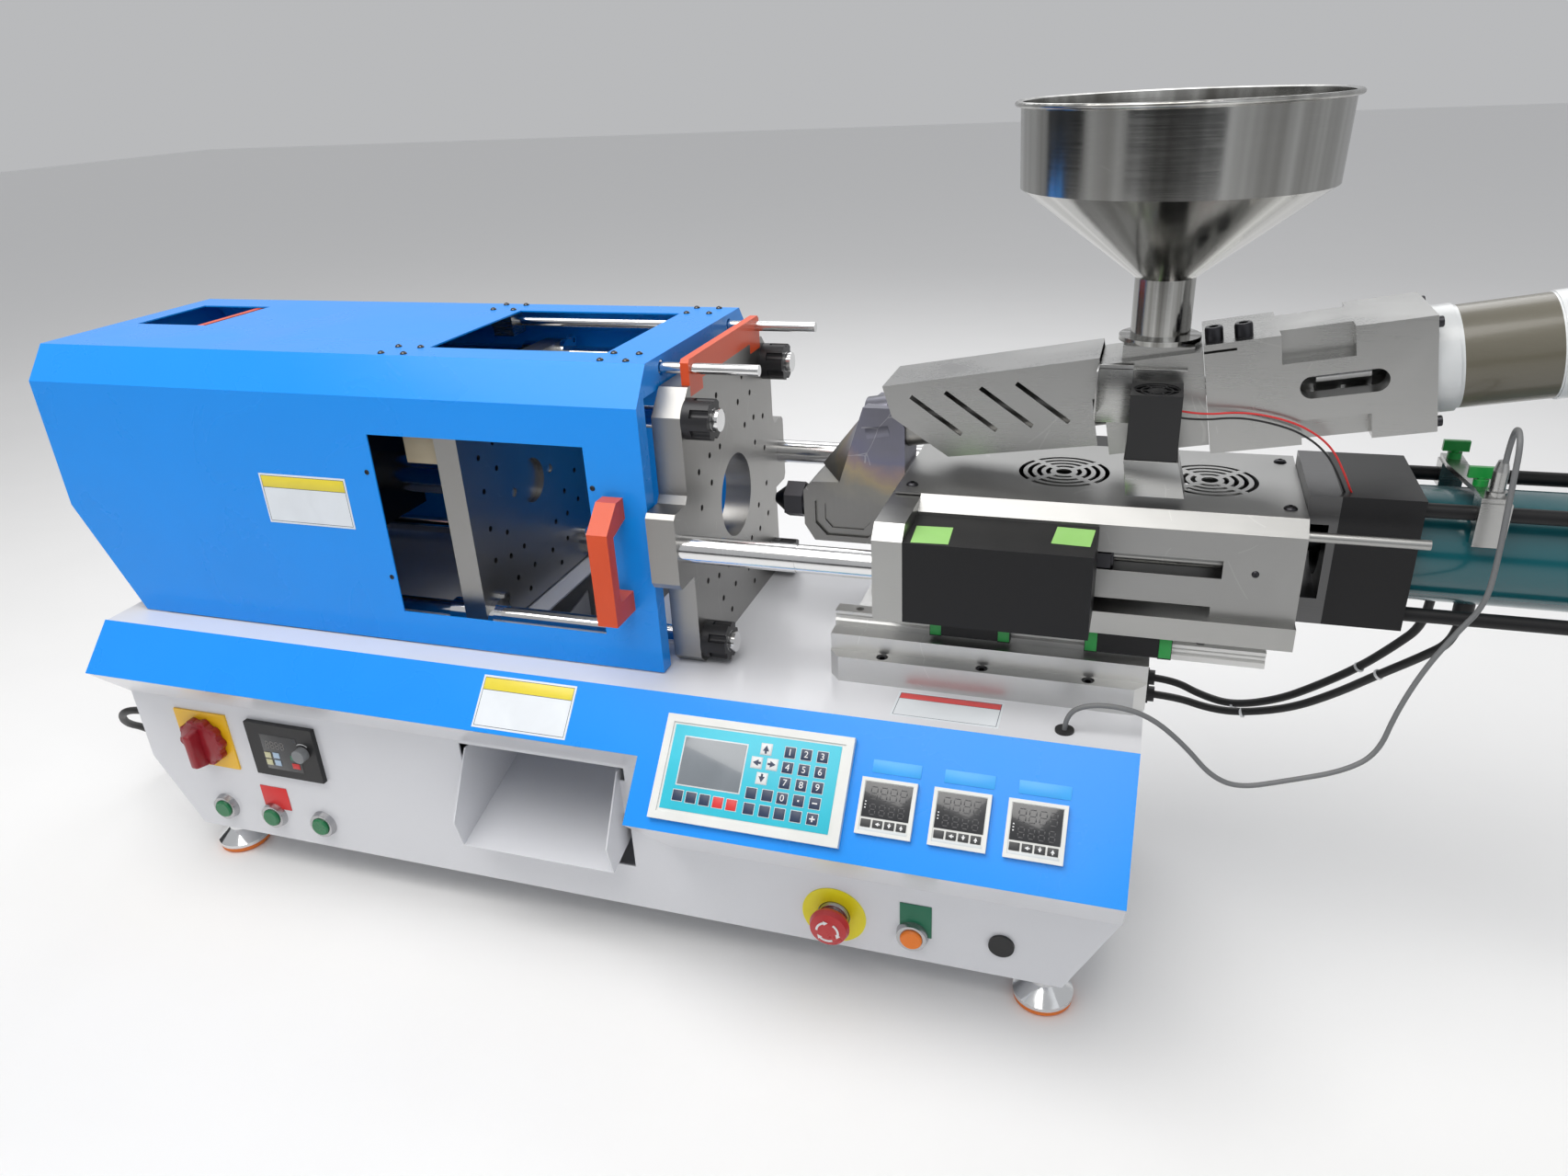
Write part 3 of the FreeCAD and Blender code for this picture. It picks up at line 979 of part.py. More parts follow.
# Cords: each is a tube of straight runs and tangent arcs through points chosen by hand.
SENSOR_ROUTE = [
    (242, 124.5, 533.55), (242, 124.5, 563.8), (240, 94, 563.5), (241, 92, 520), (243, 91, 470), (242,
                                                                                                  90, 430),
    (226, 87, 405), (208, 82, 372), (194, 76, 334), (185, 67, 298), (160, 58, 283), (118, 50, 272),
    (82, 43, 263.5), (58, 38, 275), (36, 34, 303), (8, 28, 330), (-18, 22.5, 341), (-46, 21.3, 340),
    (-62.3, 20.5, 328.5), (-62.3, 20.5, 311.5)]
FRONT_HOSE_ROUTE = [(3, 255, 222.2), (33, 255, 222.2), (68, 251, 215), (98, 242, 220), (140, 229, 239),
                    (174, 213, 270),
                    (202, 195, 304), (228, 177, 335), (248, 163, 361.5), (248, 163, 389.05)]
BACK_HOSE_ROUTE = [(3, 290, 222.2), (31, 290, 222.2), (60, 284, 211), (92, 272, 210), (132, 254, 233),
                   (164, 237, 265),
                   (190, 219, 297), (212, 203, 331), (229, 190, 361.5), (229, 190, 389.05)]


# The lead stands out past the left end, and its coil lies behind the cabinet.
lead_left = base_left - 140.0
coil_place = (base_left + 170.0, dim.base_depth + 90.0)
coil_radius = dim.coil_turn + dim.lead_radius


def cord(points, radius, shortest):
    # The tube is made of one rod or one torus arc for each stretch, all along one smooth path.
    places = [Vector(*point) for point in points]
    edges = []
    start = places[0]
    radii = []
    for before, corner, after in zip(places, places[1:], places[2:]):
        entering = (corner - before).normalize()
        leaving = (after - corner).normalize()
        turn = entering.getAngle(leaving)
        reach = 0.45 * min((corner - before).Length, (after - corner).Length)
        radii.append(reach / math.tan(turn / 2))
        first, last = corner - entering * reach, corner + leaving * reach
        bisector = (leaving - entering).normalize()
        middle = corner + bisector * radii[-1] * (1 / math.cos(turn / 2) - 1)
        edges += [Part.makeLine(start, first), Part.Arc(first, middle, last).toShape()]
        start = last
    edges.append(Part.makeLine(start, places[-1]))
    path = doc.addObject("Part::Feature", "Path")
    path.Shape = Part.Wire(edges)
    ring = doc.addObject("Part::Circle", "Ring")
    size(ring, Radius=radius)
    ring.Placement = Placement(places[0], Rotation(Vector(0, 0, 1), places[1] - places[0]))
    tube = doc.addObject("Part::Sweep", "Tube")
    tube.Sections, tube.Spine = [ring], (path, ["Edge%d" % (n + 1) for n in range(len(edges))])
    tube.Solid, tube.Frenet = True, False
    doc.recompute()
    expected = path.Shape.Length * math.pi * ring.Radius.Value ** 2
    print("cord: length %.0f mm, volume ratio %.4f, smallest radius %.1f mm, radii %s"
          % (path.Shape.Length, tube.Shape.Volume / expected, min(radii),
             [round(radius) for radius in radii]))
    if min(radii) < shortest * 2 * ring.Radius.Value:
        raise ValueError("a bend is tighter than the cord allows")
    return tube


def build_cords():
    node("sensor_cable", cord(SENSOR_ROUTE, "dim.cable_radius", 3.0))
    node("cylinder_hoses", cord(FRONT_HOSE_ROUTE, "dim.hose_radius", 3.0),
         cord(BACK_HOSE_ROUTE, "dim.hose_radius", 3.0))
    x, y = coil_place
    floor = dim.lead_radius
    lead = [(base_left - 4, 40, lead_z), (base_left - 48, 40, lead_z), (base_left - 92, 46, lead_z - 14),
            (base_left - 124, 70, lead_z - 50), (base_left - 138, 108, lead_z - 82), (lead_left, 160,
                                                                                      floor + 4),
            (lead_left, 230, floor), (base_left - 125, 310, floor), (base_left - 75, 368, floor),
            (base_left, y - 63, floor), (x - 90, y - dim.coil_turn, floor), (x - 32.3,
                                                                             y - dim.coil_turn, floor)]
    node("mains_lead", cord(lead, "dim.lead_radius", 5.0))
    inner = coil_radius - 4 * dim.lead_radius
    tall = 4 * dim.lead_radius
    node("mains_coil", cut(rod((x, y, 0), coil_radius, tall, "Z"), rod((x, y, -1), inner, tall + 2, "Z")))
    start = x - 87.5
    body = extrude(chamfered(start, y + dim.coil_turn - 18, start + 46, y + dim.coil_turn + 18, 9, 7),
                   "XY", 0.0, 28.0)
    pins = [rod((start, y + dim.coil_turn + side * 9.5, 14), 2.4, 19.0, "-X") for side in (-1, 1)]
    node("mains_plug", fuse(body, *pins))


build_cords()


doc.recompute()
os.makedirs("parts", exist_ok=True)
for item in doc.Objects:
    for flag in ("Invalid", "Error"):
        if flag in item.State:
            raise RuntimeError(f"{item.Name} ({item.TypeId}) is in state {item.State}")
for part in nodes:
    if part.Shape.isNull() or not part.Shape.isValid() or not part.Shape.Solids:
        raise RuntimeError(f"{part.Label} has no valid solid")
for part in nodes:
    part.Shape.exportStep(os.path.join("parts", f"{part.Label}.step"))
    print(f"{part.Label}: {len(part.Shape.Solids)} solid(s), {part.Shape.Volume / 1000:.1f} cm3")
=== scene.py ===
import math
import bpy
from mathutils import Matrix, Vector


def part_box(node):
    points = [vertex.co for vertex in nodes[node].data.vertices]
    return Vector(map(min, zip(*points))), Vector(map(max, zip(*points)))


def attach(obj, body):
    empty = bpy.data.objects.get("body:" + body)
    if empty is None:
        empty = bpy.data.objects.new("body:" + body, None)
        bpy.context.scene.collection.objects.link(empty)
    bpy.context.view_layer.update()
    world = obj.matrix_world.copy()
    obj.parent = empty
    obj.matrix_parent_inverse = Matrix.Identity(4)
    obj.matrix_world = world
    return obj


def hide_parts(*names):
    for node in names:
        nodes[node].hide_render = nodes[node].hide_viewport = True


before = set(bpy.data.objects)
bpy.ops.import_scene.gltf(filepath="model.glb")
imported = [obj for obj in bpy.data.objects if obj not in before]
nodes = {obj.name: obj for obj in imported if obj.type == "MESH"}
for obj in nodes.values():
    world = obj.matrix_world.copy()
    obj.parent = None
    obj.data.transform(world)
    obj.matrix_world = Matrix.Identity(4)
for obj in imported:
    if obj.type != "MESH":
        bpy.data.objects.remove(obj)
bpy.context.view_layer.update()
machineValues = {"cabinetDepth": 353.0, "axisBack": 176.5, "axisRise": 131.3, "driveX": -16.0,
                 "driveRise": 252.0,
                 "driveTilt": -9.5, "slopeRise": 89.8, "slopeRun": 86.7}
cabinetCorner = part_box("base_cabinet")[1]  # the highest corner of the cabinet's box
rightEnd = cabinetCorner[0]  # X 0 of the machine's own measure
frontFace = cabinetCorner[1] - machineValues["cabinetDepth"] / 1000.0  # Y 0 of the same measure
tableTop = cabinetCorner[2] * 1000.0
axisY = machineValues["axisBack"]  # mould axis, in millimetres behind the front face
axisZ = tableTop + machineValues["axisRise"]  # mould axis above the floor
driveX = machineValues["driveX"]  # X of the hopper's axis, where the tilted drive starts
driveTilt = math.radians(machineValues["driveTilt"])


def at(x, y, z):
    # millimetres from the cabinet's right end, front face and the floor
    return Vector((rightEnd + x / 1000.0, frontFace + y / 1000.0, z / 1000.0))


machineFrame = Matrix.Translation(at(0, 0, 0))
driveOrigin = at(driveX, axisY, tableTop + machineValues["driveRise"])
tiltFrame = Matrix.Translation(driveOrigin) @ Matrix.Rotation(driveTilt, 4, "Y")
slopeAngle = math.atan2(machineValues["slopeRise"], machineValues["slopeRun"])
slopeFrame = Matrix.Translation(at(0, 0, tableTop)) @ Matrix.Rotation(slopeAngle, 4, "X")

cameraValues = {"place": (-19.4, -801.5, 833.2), "azimuth": 19.263, "elevation": 25.301, "roll": -3.025,
                "lens": 25.407, "sensor": 36.0}


def makeCamera(values):
    data = bpy.data.cameras.new("camera")
    camera = bpy.data.objects.new("camera", data)
    bpy.context.scene.collection.objects.link(camera)
    data.sensor_width = values["sensor"]
    data.lens = values["lens"]
    data.clip_start = 0.01
    turn = Matrix.Rotation(math.radians(values["azimuth"]), 4, "Z")
    turn = turn @ Matrix.Rotation(math.radians(90.0 - values["elevation"]), 4, "X")
    turn = turn @ Matrix.Rotation(math.radians(values["roll"]), 4, "Z")
    camera.matrix_world = Matrix.Translation(at(*values["place"])) @ turn
    bpy.context.scene.camera = camera


lightValues = {
    "keyLight": {"place": (-800, -700, 2700), "target": (-350, 120, 350), "size": 2.6, "power": 62.0,
                 "color": (1.0, 0.98, 0.95)},
    "fillLight": {"place": (1500, -1700, 1500), "target": (-200, 150, 400), "size": 2.4, "power": 4.0,
                  "color": (0.94, 0.97, 1.0)},
    "backLight": {"place": (-300, 2100, 2200), "target": (-400, 150, 400), "size": 2.0, "power": 20.0,
                  "color": (1.0, 1.0, 1.0)},
}


def makeLights(values):
    for name, light in values.items():
        data = bpy.data.lights.new(name, "AREA")
        data.shape = "RECTANGLE"
        data.size = light["size"]
        data.size_y = light["size"] * 0.7
        data.energy = light["power"]
        data.color = light["color"]
        lamp = bpy.data.objects.new(name, data)
        bpy.context.scene.collection.objects.link(lamp)
        lamp.location = at(*light["place"])
        aim = at(*light["target"]) - lamp.location
        lamp.rotation_euler = aim.to_track_quat("-Z", "Y").to_euler()


worldValues = {"color": (0.97, 0.98, 1.0, 1.0), "strength": 0.5}


def makeWorld(values):
    world = bpy.data.worlds.new("studio")
    world.use_nodes = True
    background = world.node_tree.nodes["Background"]
    background.inputs["Color"].default_value = values["color"]
    background.inputs["Strength"].default_value = values["strength"]
    bpy.context.scene.world = world


def clearPick():
    if bpy.context.mode != "OBJECT":
        bpy.ops.object.mode_set(mode="OBJECT")
    bpy.ops.object.select_all(action="DESELECT")


makeCamera(cameraValues)
makeLights(lightValues)
makeWorld(worldValues)
bpy.context.scene.view_settings.view_transform = "Standard"
print("camera and lights set")


def newGroup(name, inputs, outputs):
    group = bpy.data.node_groups.new(name, "ShaderNodeTree")
    for label, kind, value in inputs:
        socket = group.interface.new_socket(name=label, in_out="INPUT", socket_type=kind)
        socket.default_value = value
    for label, kind in outputs:
        group.interface.new_socket(name=label, in_out="OUTPUT", socket_type=kind)
    return group, group.nodes.new("NodeGroupInput"), group.nodes.new("NodeGroupOutput")


def linkOrSet(tree, socket, value):
    if isinstance(value, (int, float)):
        socket.default_value = value
    else:
        tree.links.new(value, socket)


def mathNode(tree, operation, first, second=None, clamp=False):
    node = tree.nodes.new("ShaderNodeMath")
    node.operation = operation
    node.use_clamp = clamp
    linkOrSet(tree, node.inputs[0], first)
    if second is not None:
        linkOrSet(tree, node.inputs[1], second)
    return node.outputs[0]


def squareOf(tree, value):
    return mathNode(tree, "POWER", mathNode(tree, "ABSOLUTE", value), 2.0)


def objectPlace(tree):
    return tree.nodes.new("ShaderNodeTexCoord").outputs["Object"]


def noiseNode(tree, place, **values):
    noise = tree.nodes.new("ShaderNodeTexNoise")
    tree.links.new(place, noise.inputs["Vector"])
    for label, value in values.items():
        linkOrSet(tree, noise.inputs[label], value)
    return noise.outputs["Fac"]


def makeGrain():
    # long fine lines left by brushing or milling, along the axis with the small scale
    group, start, end = newGroup("metalGrain", [
        ("Scale", "NodeSocketVector", (4.0, 260.0, 260.0)), ("Depth", "NodeSocketFloat", 0.3)],
        [("Lines", "NodeSocketFloat"), ("Height", "NodeSocketFloat")])
    scaled = group.nodes.new("ShaderNodeVectorMath")
    scaled.operation = "MULTIPLY"
    group.links.new(objectPlace(group), scaled.inputs[0])
    group.links.new(start.outputs["Scale"], scaled.inputs[1])
    noise = noiseNode(group, scaled.outputs[0], Scale=1.0, Detail=4.0, Roughness=0.7)
    group.links.new(noise, end.inputs["Lines"])
    group.links.new(mathNode(group, "MULTIPLY", noise, start.outputs["Depth"]), end.inputs["Height"])
    return group


def makeSmudge():
    # broad soft patches: handling marks, uneven gloss and slow changes of colour
    group, start, end = newGroup("smudge", [
        ("Scale", "NodeSocketFloat", 9.0), ("Contrast", "NodeSocketFloat", 1.0)],
        [("Patch", "NodeSocketFloat")])
    noise = noiseNode(group, objectPlace(group), Scale=start.outputs["Scale"], Detail=5.0, Distortion=0.6)
    centred = mathNode(group, "SUBTRACT", noise, 0.5)
    spread = mathNode(group, "MULTIPLY", centred, start.outputs["Contrast"])
    group.links.new(mathNode(group, "ADD", spread, 0.5, True), end.inputs["Patch"])
    return group


def makeSpeckle():
    # very fine pitting of powder coat, moulded plastic and cast metal
    group, start, end = newGroup("speckle", [
        ("Scale", "NodeSocketFloat", 900.0), ("Depth", "NodeSocketFloat", 0.2)],
        [("Height", "NodeSocketFloat")])
    noise = noiseNode(group, objectPlace(group), Scale=start.outputs["Scale"], Detail=2.0)
    group.links.new(mathNode(group, "MULTIPLY", noise, start.outputs["Depth"]), end.inputs["Height"])
    return group


def makeDust():
    # light dust that settles on faces that look up
    group, start, end = newGroup("dust", [
        ("Amount", "NodeSocketFloat", 0.2), ("Scale", "NodeSocketFloat", 30.0)],
        [("Cover", "NodeSocketFloat")])
    geometry = group.nodes.new("ShaderNodeNewGeometry")
    split = group.nodes.new("ShaderNodeSeparateXYZ")
    group.links.new(geometry.outputs["Normal"], split.inputs[0])
    facing = mathNode(group, "POWER", mathNode(group, "MAXIMUM", split.outputs["Z"], 0.0), 4.0)
    noise = noiseNode(group, objectPlace(group), Scale=start.outputs["Scale"], Detail=6.0)
    cover = mathNode(group, "MULTIPLY", facing, noise)
    group.links.new(mathNode(group, "MULTIPLY", cover, start.outputs["Amount"], True), end.inputs["Cover"])
    return group


def makeScratches():
    # sparse hairline scratches at mixed angles
    group, start, end = newGroup("scratches", [
        ("Scale", "NodeSocketFloat", 14.0), ("Width", "NodeSocketFloat", 0.02)],
        [("Line", "NodeSocketFloat")])
    place = objectPlace(group)
    warp = group.nodes.new("ShaderNodeTexNoise")
    warp.inputs["Scale"].default_value = 6.0
    group.links.new(place, warp.inputs["Vector"])
    shifted = group.nodes.new("ShaderNodeMixRGB")
    shifted.blend_type = "ADD"
    shifted.inputs["Fac"].default_value = 0.12
    group.links.new(place, shifted.inputs[1])
    group.links.new(warp.outputs["Color"], shifted.inputs[2])
    cells = group.nodes.new("ShaderNodeTexVoronoi")
    cells.feature = "DISTANCE_TO_EDGE"
    group.links.new(shifted.outputs[0], cells.inputs["Vector"])
    group.links.new(start.outputs["Scale"], cells.inputs["Scale"])
    thin = mathNode(group, "LESS_THAN", cells.outputs["Distance"], start.outputs["Width"])
    broken = mathNode(group, "GREATER_THAN", noiseNode(group, place, Scale=22.0), 0.58)
    group.links.new(mathNode(group, "MULTIPLY", thin, broken), end.inputs["Line"])
    return group


effects = {"grain": makeGrain(), "smudge": makeSmudge(), "speckle": makeSpeckle(), "dust": makeDust(),
           "scratches": makeScratches()}


def useGroup(tree, name, **values):
    node = tree.nodes.new("ShaderNodeGroup")
    node.node_tree = effects[name]
    for label, value in values.items():
        node.inputs[label].default_value = value
    return node


def mixColor(tree, factor, first, second):
    node = tree.nodes.new("ShaderNodeMix")
    node.data_type = "RGBA"
    for socket, value in ((node.inputs[0], factor), (node.inputs[6], first), (node.inputs[7], second)):
        if isinstance(value, tuple):
            socket.default_value = (*value, 1.0)
        else:
            linkOrSet(tree, socket, value)
    return node.outputs[2]


def shade(color, factor):
    return tuple(min(1.0, part * factor) for part in color)


def cloudy(tree, smudge, color, patch):
    return mixColor(tree, smudge.outputs["Patch"], shade(color, 1.0 - patch), shade(color, 1.0 + patch))


def startMaterial(name):
    material = bpy.data.materials.new(name)
    material.use_nodes = True
    tree = material.node_tree
    return material, tree, tree.nodes["Principled BSDF"]


def bumpNormal(tree, shader, height, strength, distance):
    bump = tree.nodes.new("ShaderNodeBump")
    bump.inputs["Strength"].default_value = strength
    bump.inputs["Distance"].default_value = distance
    tree.links.new(height, bump.inputs["Height"])
    tree.links.new(bump.outputs["Normal"], shader.inputs["Normal"])


def roughFrom(tree, shader, value, low, high):
    node = tree.nodes.new("ShaderNodeMapRange")
    node.inputs["To Min"].default_value = low
    node.inputs["To Max"].default_value = high
    tree.links.new(value, node.inputs["Value"])
    tree.links.new(node.outputs["Result"], shader.inputs["Roughness"])


def paint(name, color=None, rough=0.34, peel=0.16, dust=0.12, coat=0.25, patch=0.08, shine=0.5, source=None):
    # powder coat or sprayed paint: fine orange peel, uneven gloss, a little dust on top
    material, tree, shader = startMaterial(name)
    smudge = useGroup(tree, "smudge", Scale=7.0, Contrast=1.0)
    base = source(tree) if source else cloudy(tree, smudge, color, patch)
    dusty = useGroup(tree, "dust", Amount=dust, Scale=26.0)
    tree.links.new(mixColor(tree, dusty.outputs["Cover"], base, (0.75, 0.74, 0.71)),
                   shader.inputs["Base Color"])
    roughFrom(tree, shader, smudge.outputs["Patch"], rough - 0.06, rough + 0.1)
    shader.inputs["Specular IOR Level"].default_value = shine
    shader.inputs["Coat Weight"].default_value = coat
    shader.inputs["Coat Roughness"].default_value = 0.12
    speckle = useGroup(tree, "speckle", Scale=750.0, Depth=1.0)
    bumpNormal(tree, shader, speckle.outputs["Height"], peel, 0.0004)
    return material


def metal(name, color, rough=0.3, lines=(5.0, 420.0, 420.0), depth=0.25, scratch=0.35, patch=0.12,
          source=None):
    # bare metal: grain lines, cloudy handling marks and hairline scratches
    material, tree, shader = startMaterial(name)
    grain = useGroup(tree, "grain", Scale=lines, Depth=1.0)
    smudge = useGroup(tree, "smudge", Scale=11.0, Contrast=1.3)
    base = source(tree) if source else cloudy(tree, smudge, color, patch)
    streak = mixColor(tree, grain.outputs["Lines"], shade(color, 0.8), shade(color, 1.12))
    mixed = mixColor(tree, 0.22, base, streak)
    marks = useGroup(tree, "scratches", Scale=16.0, Width=0.006)
    worn = mathNode(tree, "MULTIPLY", marks.outputs["Line"], scratch)
    tree.links.new(mixColor(tree, worn, mixed, shade(color, 1.3)), shader.inputs["Base Color"])
    shader.inputs["Metallic"].default_value = 1.0
    both = mathNode(tree, "MULTIPLY", grain.outputs["Lines"], smudge.outputs["Patch"])
    roughFrom(tree, shader, both, rough - 0.08, rough + 0.22)
    bumpNormal(tree, shader, grain.outputs["Height"], depth, 0.0001)
    return material


def plastic(name, color, rough=0.4, pit=0.15, dust=0.1, coat=0.0, glow=None):
    # moulded plastic, rubber and print: fine pitting, uneven gloss, a little dust on top
    material, tree, shader = startMaterial(name)
    smudge = useGroup(tree, "smudge", Scale=24.0, Contrast=1.2)
    base = cloudy(tree, smudge, color, 0.1)
    dusty = useGroup(tree, "dust", Amount=dust, Scale=60.0)
    tree.links.new(mixColor(tree, dusty.outputs["Cover"], base, (0.6, 0.6, 0.58)),
                   shader.inputs["Base Color"])
    roughFrom(tree, shader, smudge.outputs["Patch"], rough - 0.06, rough + 0.12)
    shader.inputs["Coat Weight"].default_value = coat
    if glow:
        shader.inputs["Emission Color"].default_value = (*color, 1.0)
        shader.inputs["Emission Strength"].default_value = glow
    speckle = useGroup(tree, "speckle", Scale=1300.0, Depth=1.0)
    bumpNormal(tree, shader, speckle.outputs["Height"], pit, 0.0003)
    return material


def splitPlace(tree, centre, turn=0.0):
    # object coordinates about a centre, turned about Y, as three numbers
    mapping = tree.nodes.new("ShaderNodeMapping")
    mapping.vector_type = "TEXTURE"
    mapping.inputs["Location"].default_value = centre
    mapping.inputs["Rotation"].default_value = (0.0, turn, 0.0)
    tree.links.new(objectPlace(tree), mapping.inputs["Vector"])
    split = tree.nodes.new("ShaderNodeSeparateXYZ")
    tree.links.new(mapping.outputs["Vector"], split.inputs[0])
    return split.outputs


motorValues = {"bodyStart": 0.224, "rearStart": 0.2875, "flange": (0.62, 0.64, 0.65),
               "body": (0.12, 0.11, 0.08),
               "rear": (0.72, 0.74, 0.75)}


def motorColor(tree):
    # bands along the drive's axis: silver flange, olive body, white rear
    parts = splitPlace(tree, tiltFrame.translation, driveTilt)
    olive = mathNode(tree, "GREATER_THAN", parts["X"], motorValues["bodyStart"])
    white = mathNode(tree, "GREATER_THAN", parts["X"], motorValues["rearStart"])
    return mixColor(tree, white, mixColor(tree, olive, motorValues["flange"], motorValues["body"]),
                    motorValues["rear"])


frameValues = {"head": (110.0, 118.0, 0.0), "plate": (0.40, 0.40, 0.39), "blackened": (0.045, 0.045, 0.05)}


def frameColor(tree):
    # bright plate and posts, blackened head at the cylinder's end
    parts = splitPlace(tree, at(*frameValues["head"]))
    head = mathNode(tree, "MULTIPLY", mathNode(tree, "GREATER_THAN", parts["X"], 0.0),
                    mathNode(tree, "GREATER_THAN", parts["Y"], 0.0))
    return mixColor(tree, head, frameValues["plate"], frameValues["blackened"])


handleValues = {"between": -1100.0, "oranges": ((0.62, 0.06, 0.01), (0.72, 0.08, 0.014)),
                "black": (0.02, 0.02, 0.022)}


def handleColor(tree):
    # the bow handle beside the window is orange, the one on the left end is black
    parts = splitPlace(tree, at(handleValues["between"], 0, 0))
    bow = mathNode(tree, "GREATER_THAN", parts["X"], 0.0)
    smudge = useGroup(tree, "smudge", Scale=15.0, Contrast=1.0)
    return mixColor(tree, bow, handleValues["black"],
                    mixColor(tree, smudge.outputs["Patch"], *handleValues["oranges"]))


# dark and bright tones of the painted reflection streaks on the hopper's bowl
spunReflectionValues = {"scale": 2.6, "contrast": 3.2, "dark": (0.15, 0.145, 0.13), "bright": (0.66, 0.66, 0.64)}


def spunReflectionColor(tree):
    # painted reflections: dark and bright streaks that run down the bowl, standing in for the room mirrored
    # in its polished turned wall
    parts = splitPlace(tree, at(driveX, axisY, 0))
    reflectionStreaks = tree.nodes.new("ShaderNodeTexNoise")
    reflectionStreaks.noise_dimensions = "1D"
    reflectionStreaks.inputs["Scale"].default_value = spunReflectionValues["scale"]
    reflectionStreaks.inputs["Detail"].default_value = 3.0
    tree.links.new(mathNode(tree, "ARCTAN2", parts["Y"], parts["X"]), reflectionStreaks.inputs["W"])
    centred = mathNode(tree, "SUBTRACT", reflectionStreaks.outputs["Fac"], 0.5)
    spread = mathNode(tree, "ADD", mathNode(tree, "MULTIPLY", centred, spunReflectionValues["contrast"]), 0.5, True)
    return mixColor(tree, spread, spunReflectionValues["dark"], spunReflectionValues["bright"])


heatValues = {"x": -246.0, "rise": 222.0, "wander": 0.022, "spread": 10.0, "stops": [
    (0.0, (0.1, 0.1, 0.12)), (0.34, (0.14, 0.14, 0.2)), (0.47, (0.13, 0.13, 0.22)),
    (0.56, (0.26, 0.18, 0.18)),
    (0.65, (0.34, 0.26, 0.14)), (0.78, (0.2, 0.19, 0.16)), (0.95, (0.15, 0.147, 0.14))]}


def heatColor(tree):
    # temper colours around the place where the barrel enters the nozzle block
    parts = splitPlace(tree, at(heatValues["x"], axisY, tableTop + heatValues["rise"]))
    squares = [squareOf(tree, part) for part in parts]
    total = mathNode(tree, "ADD", mathNode(tree, "ADD", squares[0], squares[1]), squares[2])
    patch = useGroup(tree, "smudge", Scale=26.0, Contrast=2.0)
    centred = mathNode(tree, "SUBTRACT", patch.outputs["Patch"], 0.5)
    reach = mathNode(tree, "ADD", mathNode(tree, "SQRT", total),
                     mathNode(tree, "MULTIPLY", centred, heatValues["wander"]))
    ramp = tree.nodes.new("ShaderNodeValToRGB")
    tree.links.new(mathNode(tree, "MULTIPLY", reach, heatValues["spread"]), ramp.inputs["Fac"])
    stops, elements = heatValues["stops"], ramp.color_ramp.elements
    for element, (place, color) in zip(elements, (stops[0], stops[-1])):
        element.position, element.color = place, (*color, 1)
    for place, color in stops[1:-1]:
        elements.new(place).color = (*color, 1)
    return ramp.outputs["Color"]


barValues = {"acrossY": 0.104, "acrossZ": 0.110, "radius": 0.0102}


def nutMask(tree):
    # 1 on the blackened slotted nuts at the bars' ends, 0 on the bright bars
    parts = splitPlace(tree, at(0, axisY, axisZ))
    acrossY = mathNode(tree, "SUBTRACT", mathNode(tree, "ABSOLUTE", parts["Y"]), barValues["acrossY"])
    acrossZ = mathNode(tree, "SUBTRACT", mathNode(tree, "ABSOLUTE", parts["Z"]), barValues["acrossZ"])
    reach = mathNode(tree, "SQRT", mathNode(tree, "ADD", squareOf(tree, acrossY), squareOf(tree, acrossZ)))
    return mathNode(tree, "GREATER_THAN", reach, barValues["radius"])


def makeTieBars():
    material, tree, shader = startMaterial("tieBarFinish")
    nut = nutMask(tree)
    smudge = useGroup(tree, "smudge", Scale=30.0, Contrast=1.4)
    steel = mixColor(tree, smudge.outputs["Patch"], (0.66, 0.66, 0.66), (0.82, 0.82, 0.82))
    black = mixColor(tree, smudge.outputs["Patch"], (0.012, 0.012, 0.014), (0.03, 0.03, 0.033))
    tree.links.new(mixColor(tree, nut, steel, black), shader.inputs["Base Color"])
    tree.links.new(mathNode(tree, "SUBTRACT", 1.0, mathNode(tree, "MULTIPLY", nut, 0.7)),
                   shader.inputs["Metallic"])
    tree.links.new(mathNode(tree, "ADD", 0.14, mathNode(tree, "MULTIPLY", nut, 0.26)),
                   shader.inputs["Roughness"])
    grain = useGroup(tree, "grain", Scale=(700.0, 20.0, 20.0), Depth=1.0)
    bumpNormal(tree, shader, grain.outputs["Height"], 0.08, 0.0002)
    return material


paintValues = {
    "cabinetWhite": dict(color=(0.71, 0.72, 0.755), rough=0.3, peel=0.1, dust=0.03, coat=0.35, patch=0.03),
    "machineBlue": dict(color=(0.006, 0.28, 0.88), rough=0.26, peel=0.08, dust=0.02, coat=0.12,
                        patch=0.05, shine=0.28),
    "signalOrange": dict(color=(0.74, 0.08, 0.014), rough=0.34, peel=0.2, dust=0.03, shine=0.3),
    "handlePaint": dict(rough=0.34, peel=0.2, shine=0.3, source=handleColor),
    "safetyYellow": dict(color=(0.90, 0.52, 0.01), rough=0.35, dust=0.0),
    "cylinderTeal": dict(color=(0.0, 0.085, 0.105), rough=0.2, peel=0.05, coat=0.5, patch=0.15),
    "satinBlack": dict(color=(0.008, 0.008, 0.009), rough=0.42, peel=0.12, dust=0.02, coat=0.0, patch=0.2,
                       shine=0.3),
    "motorPaint": dict(rough=0.3, peel=0.25, source=motorColor, coat=0.3),
}
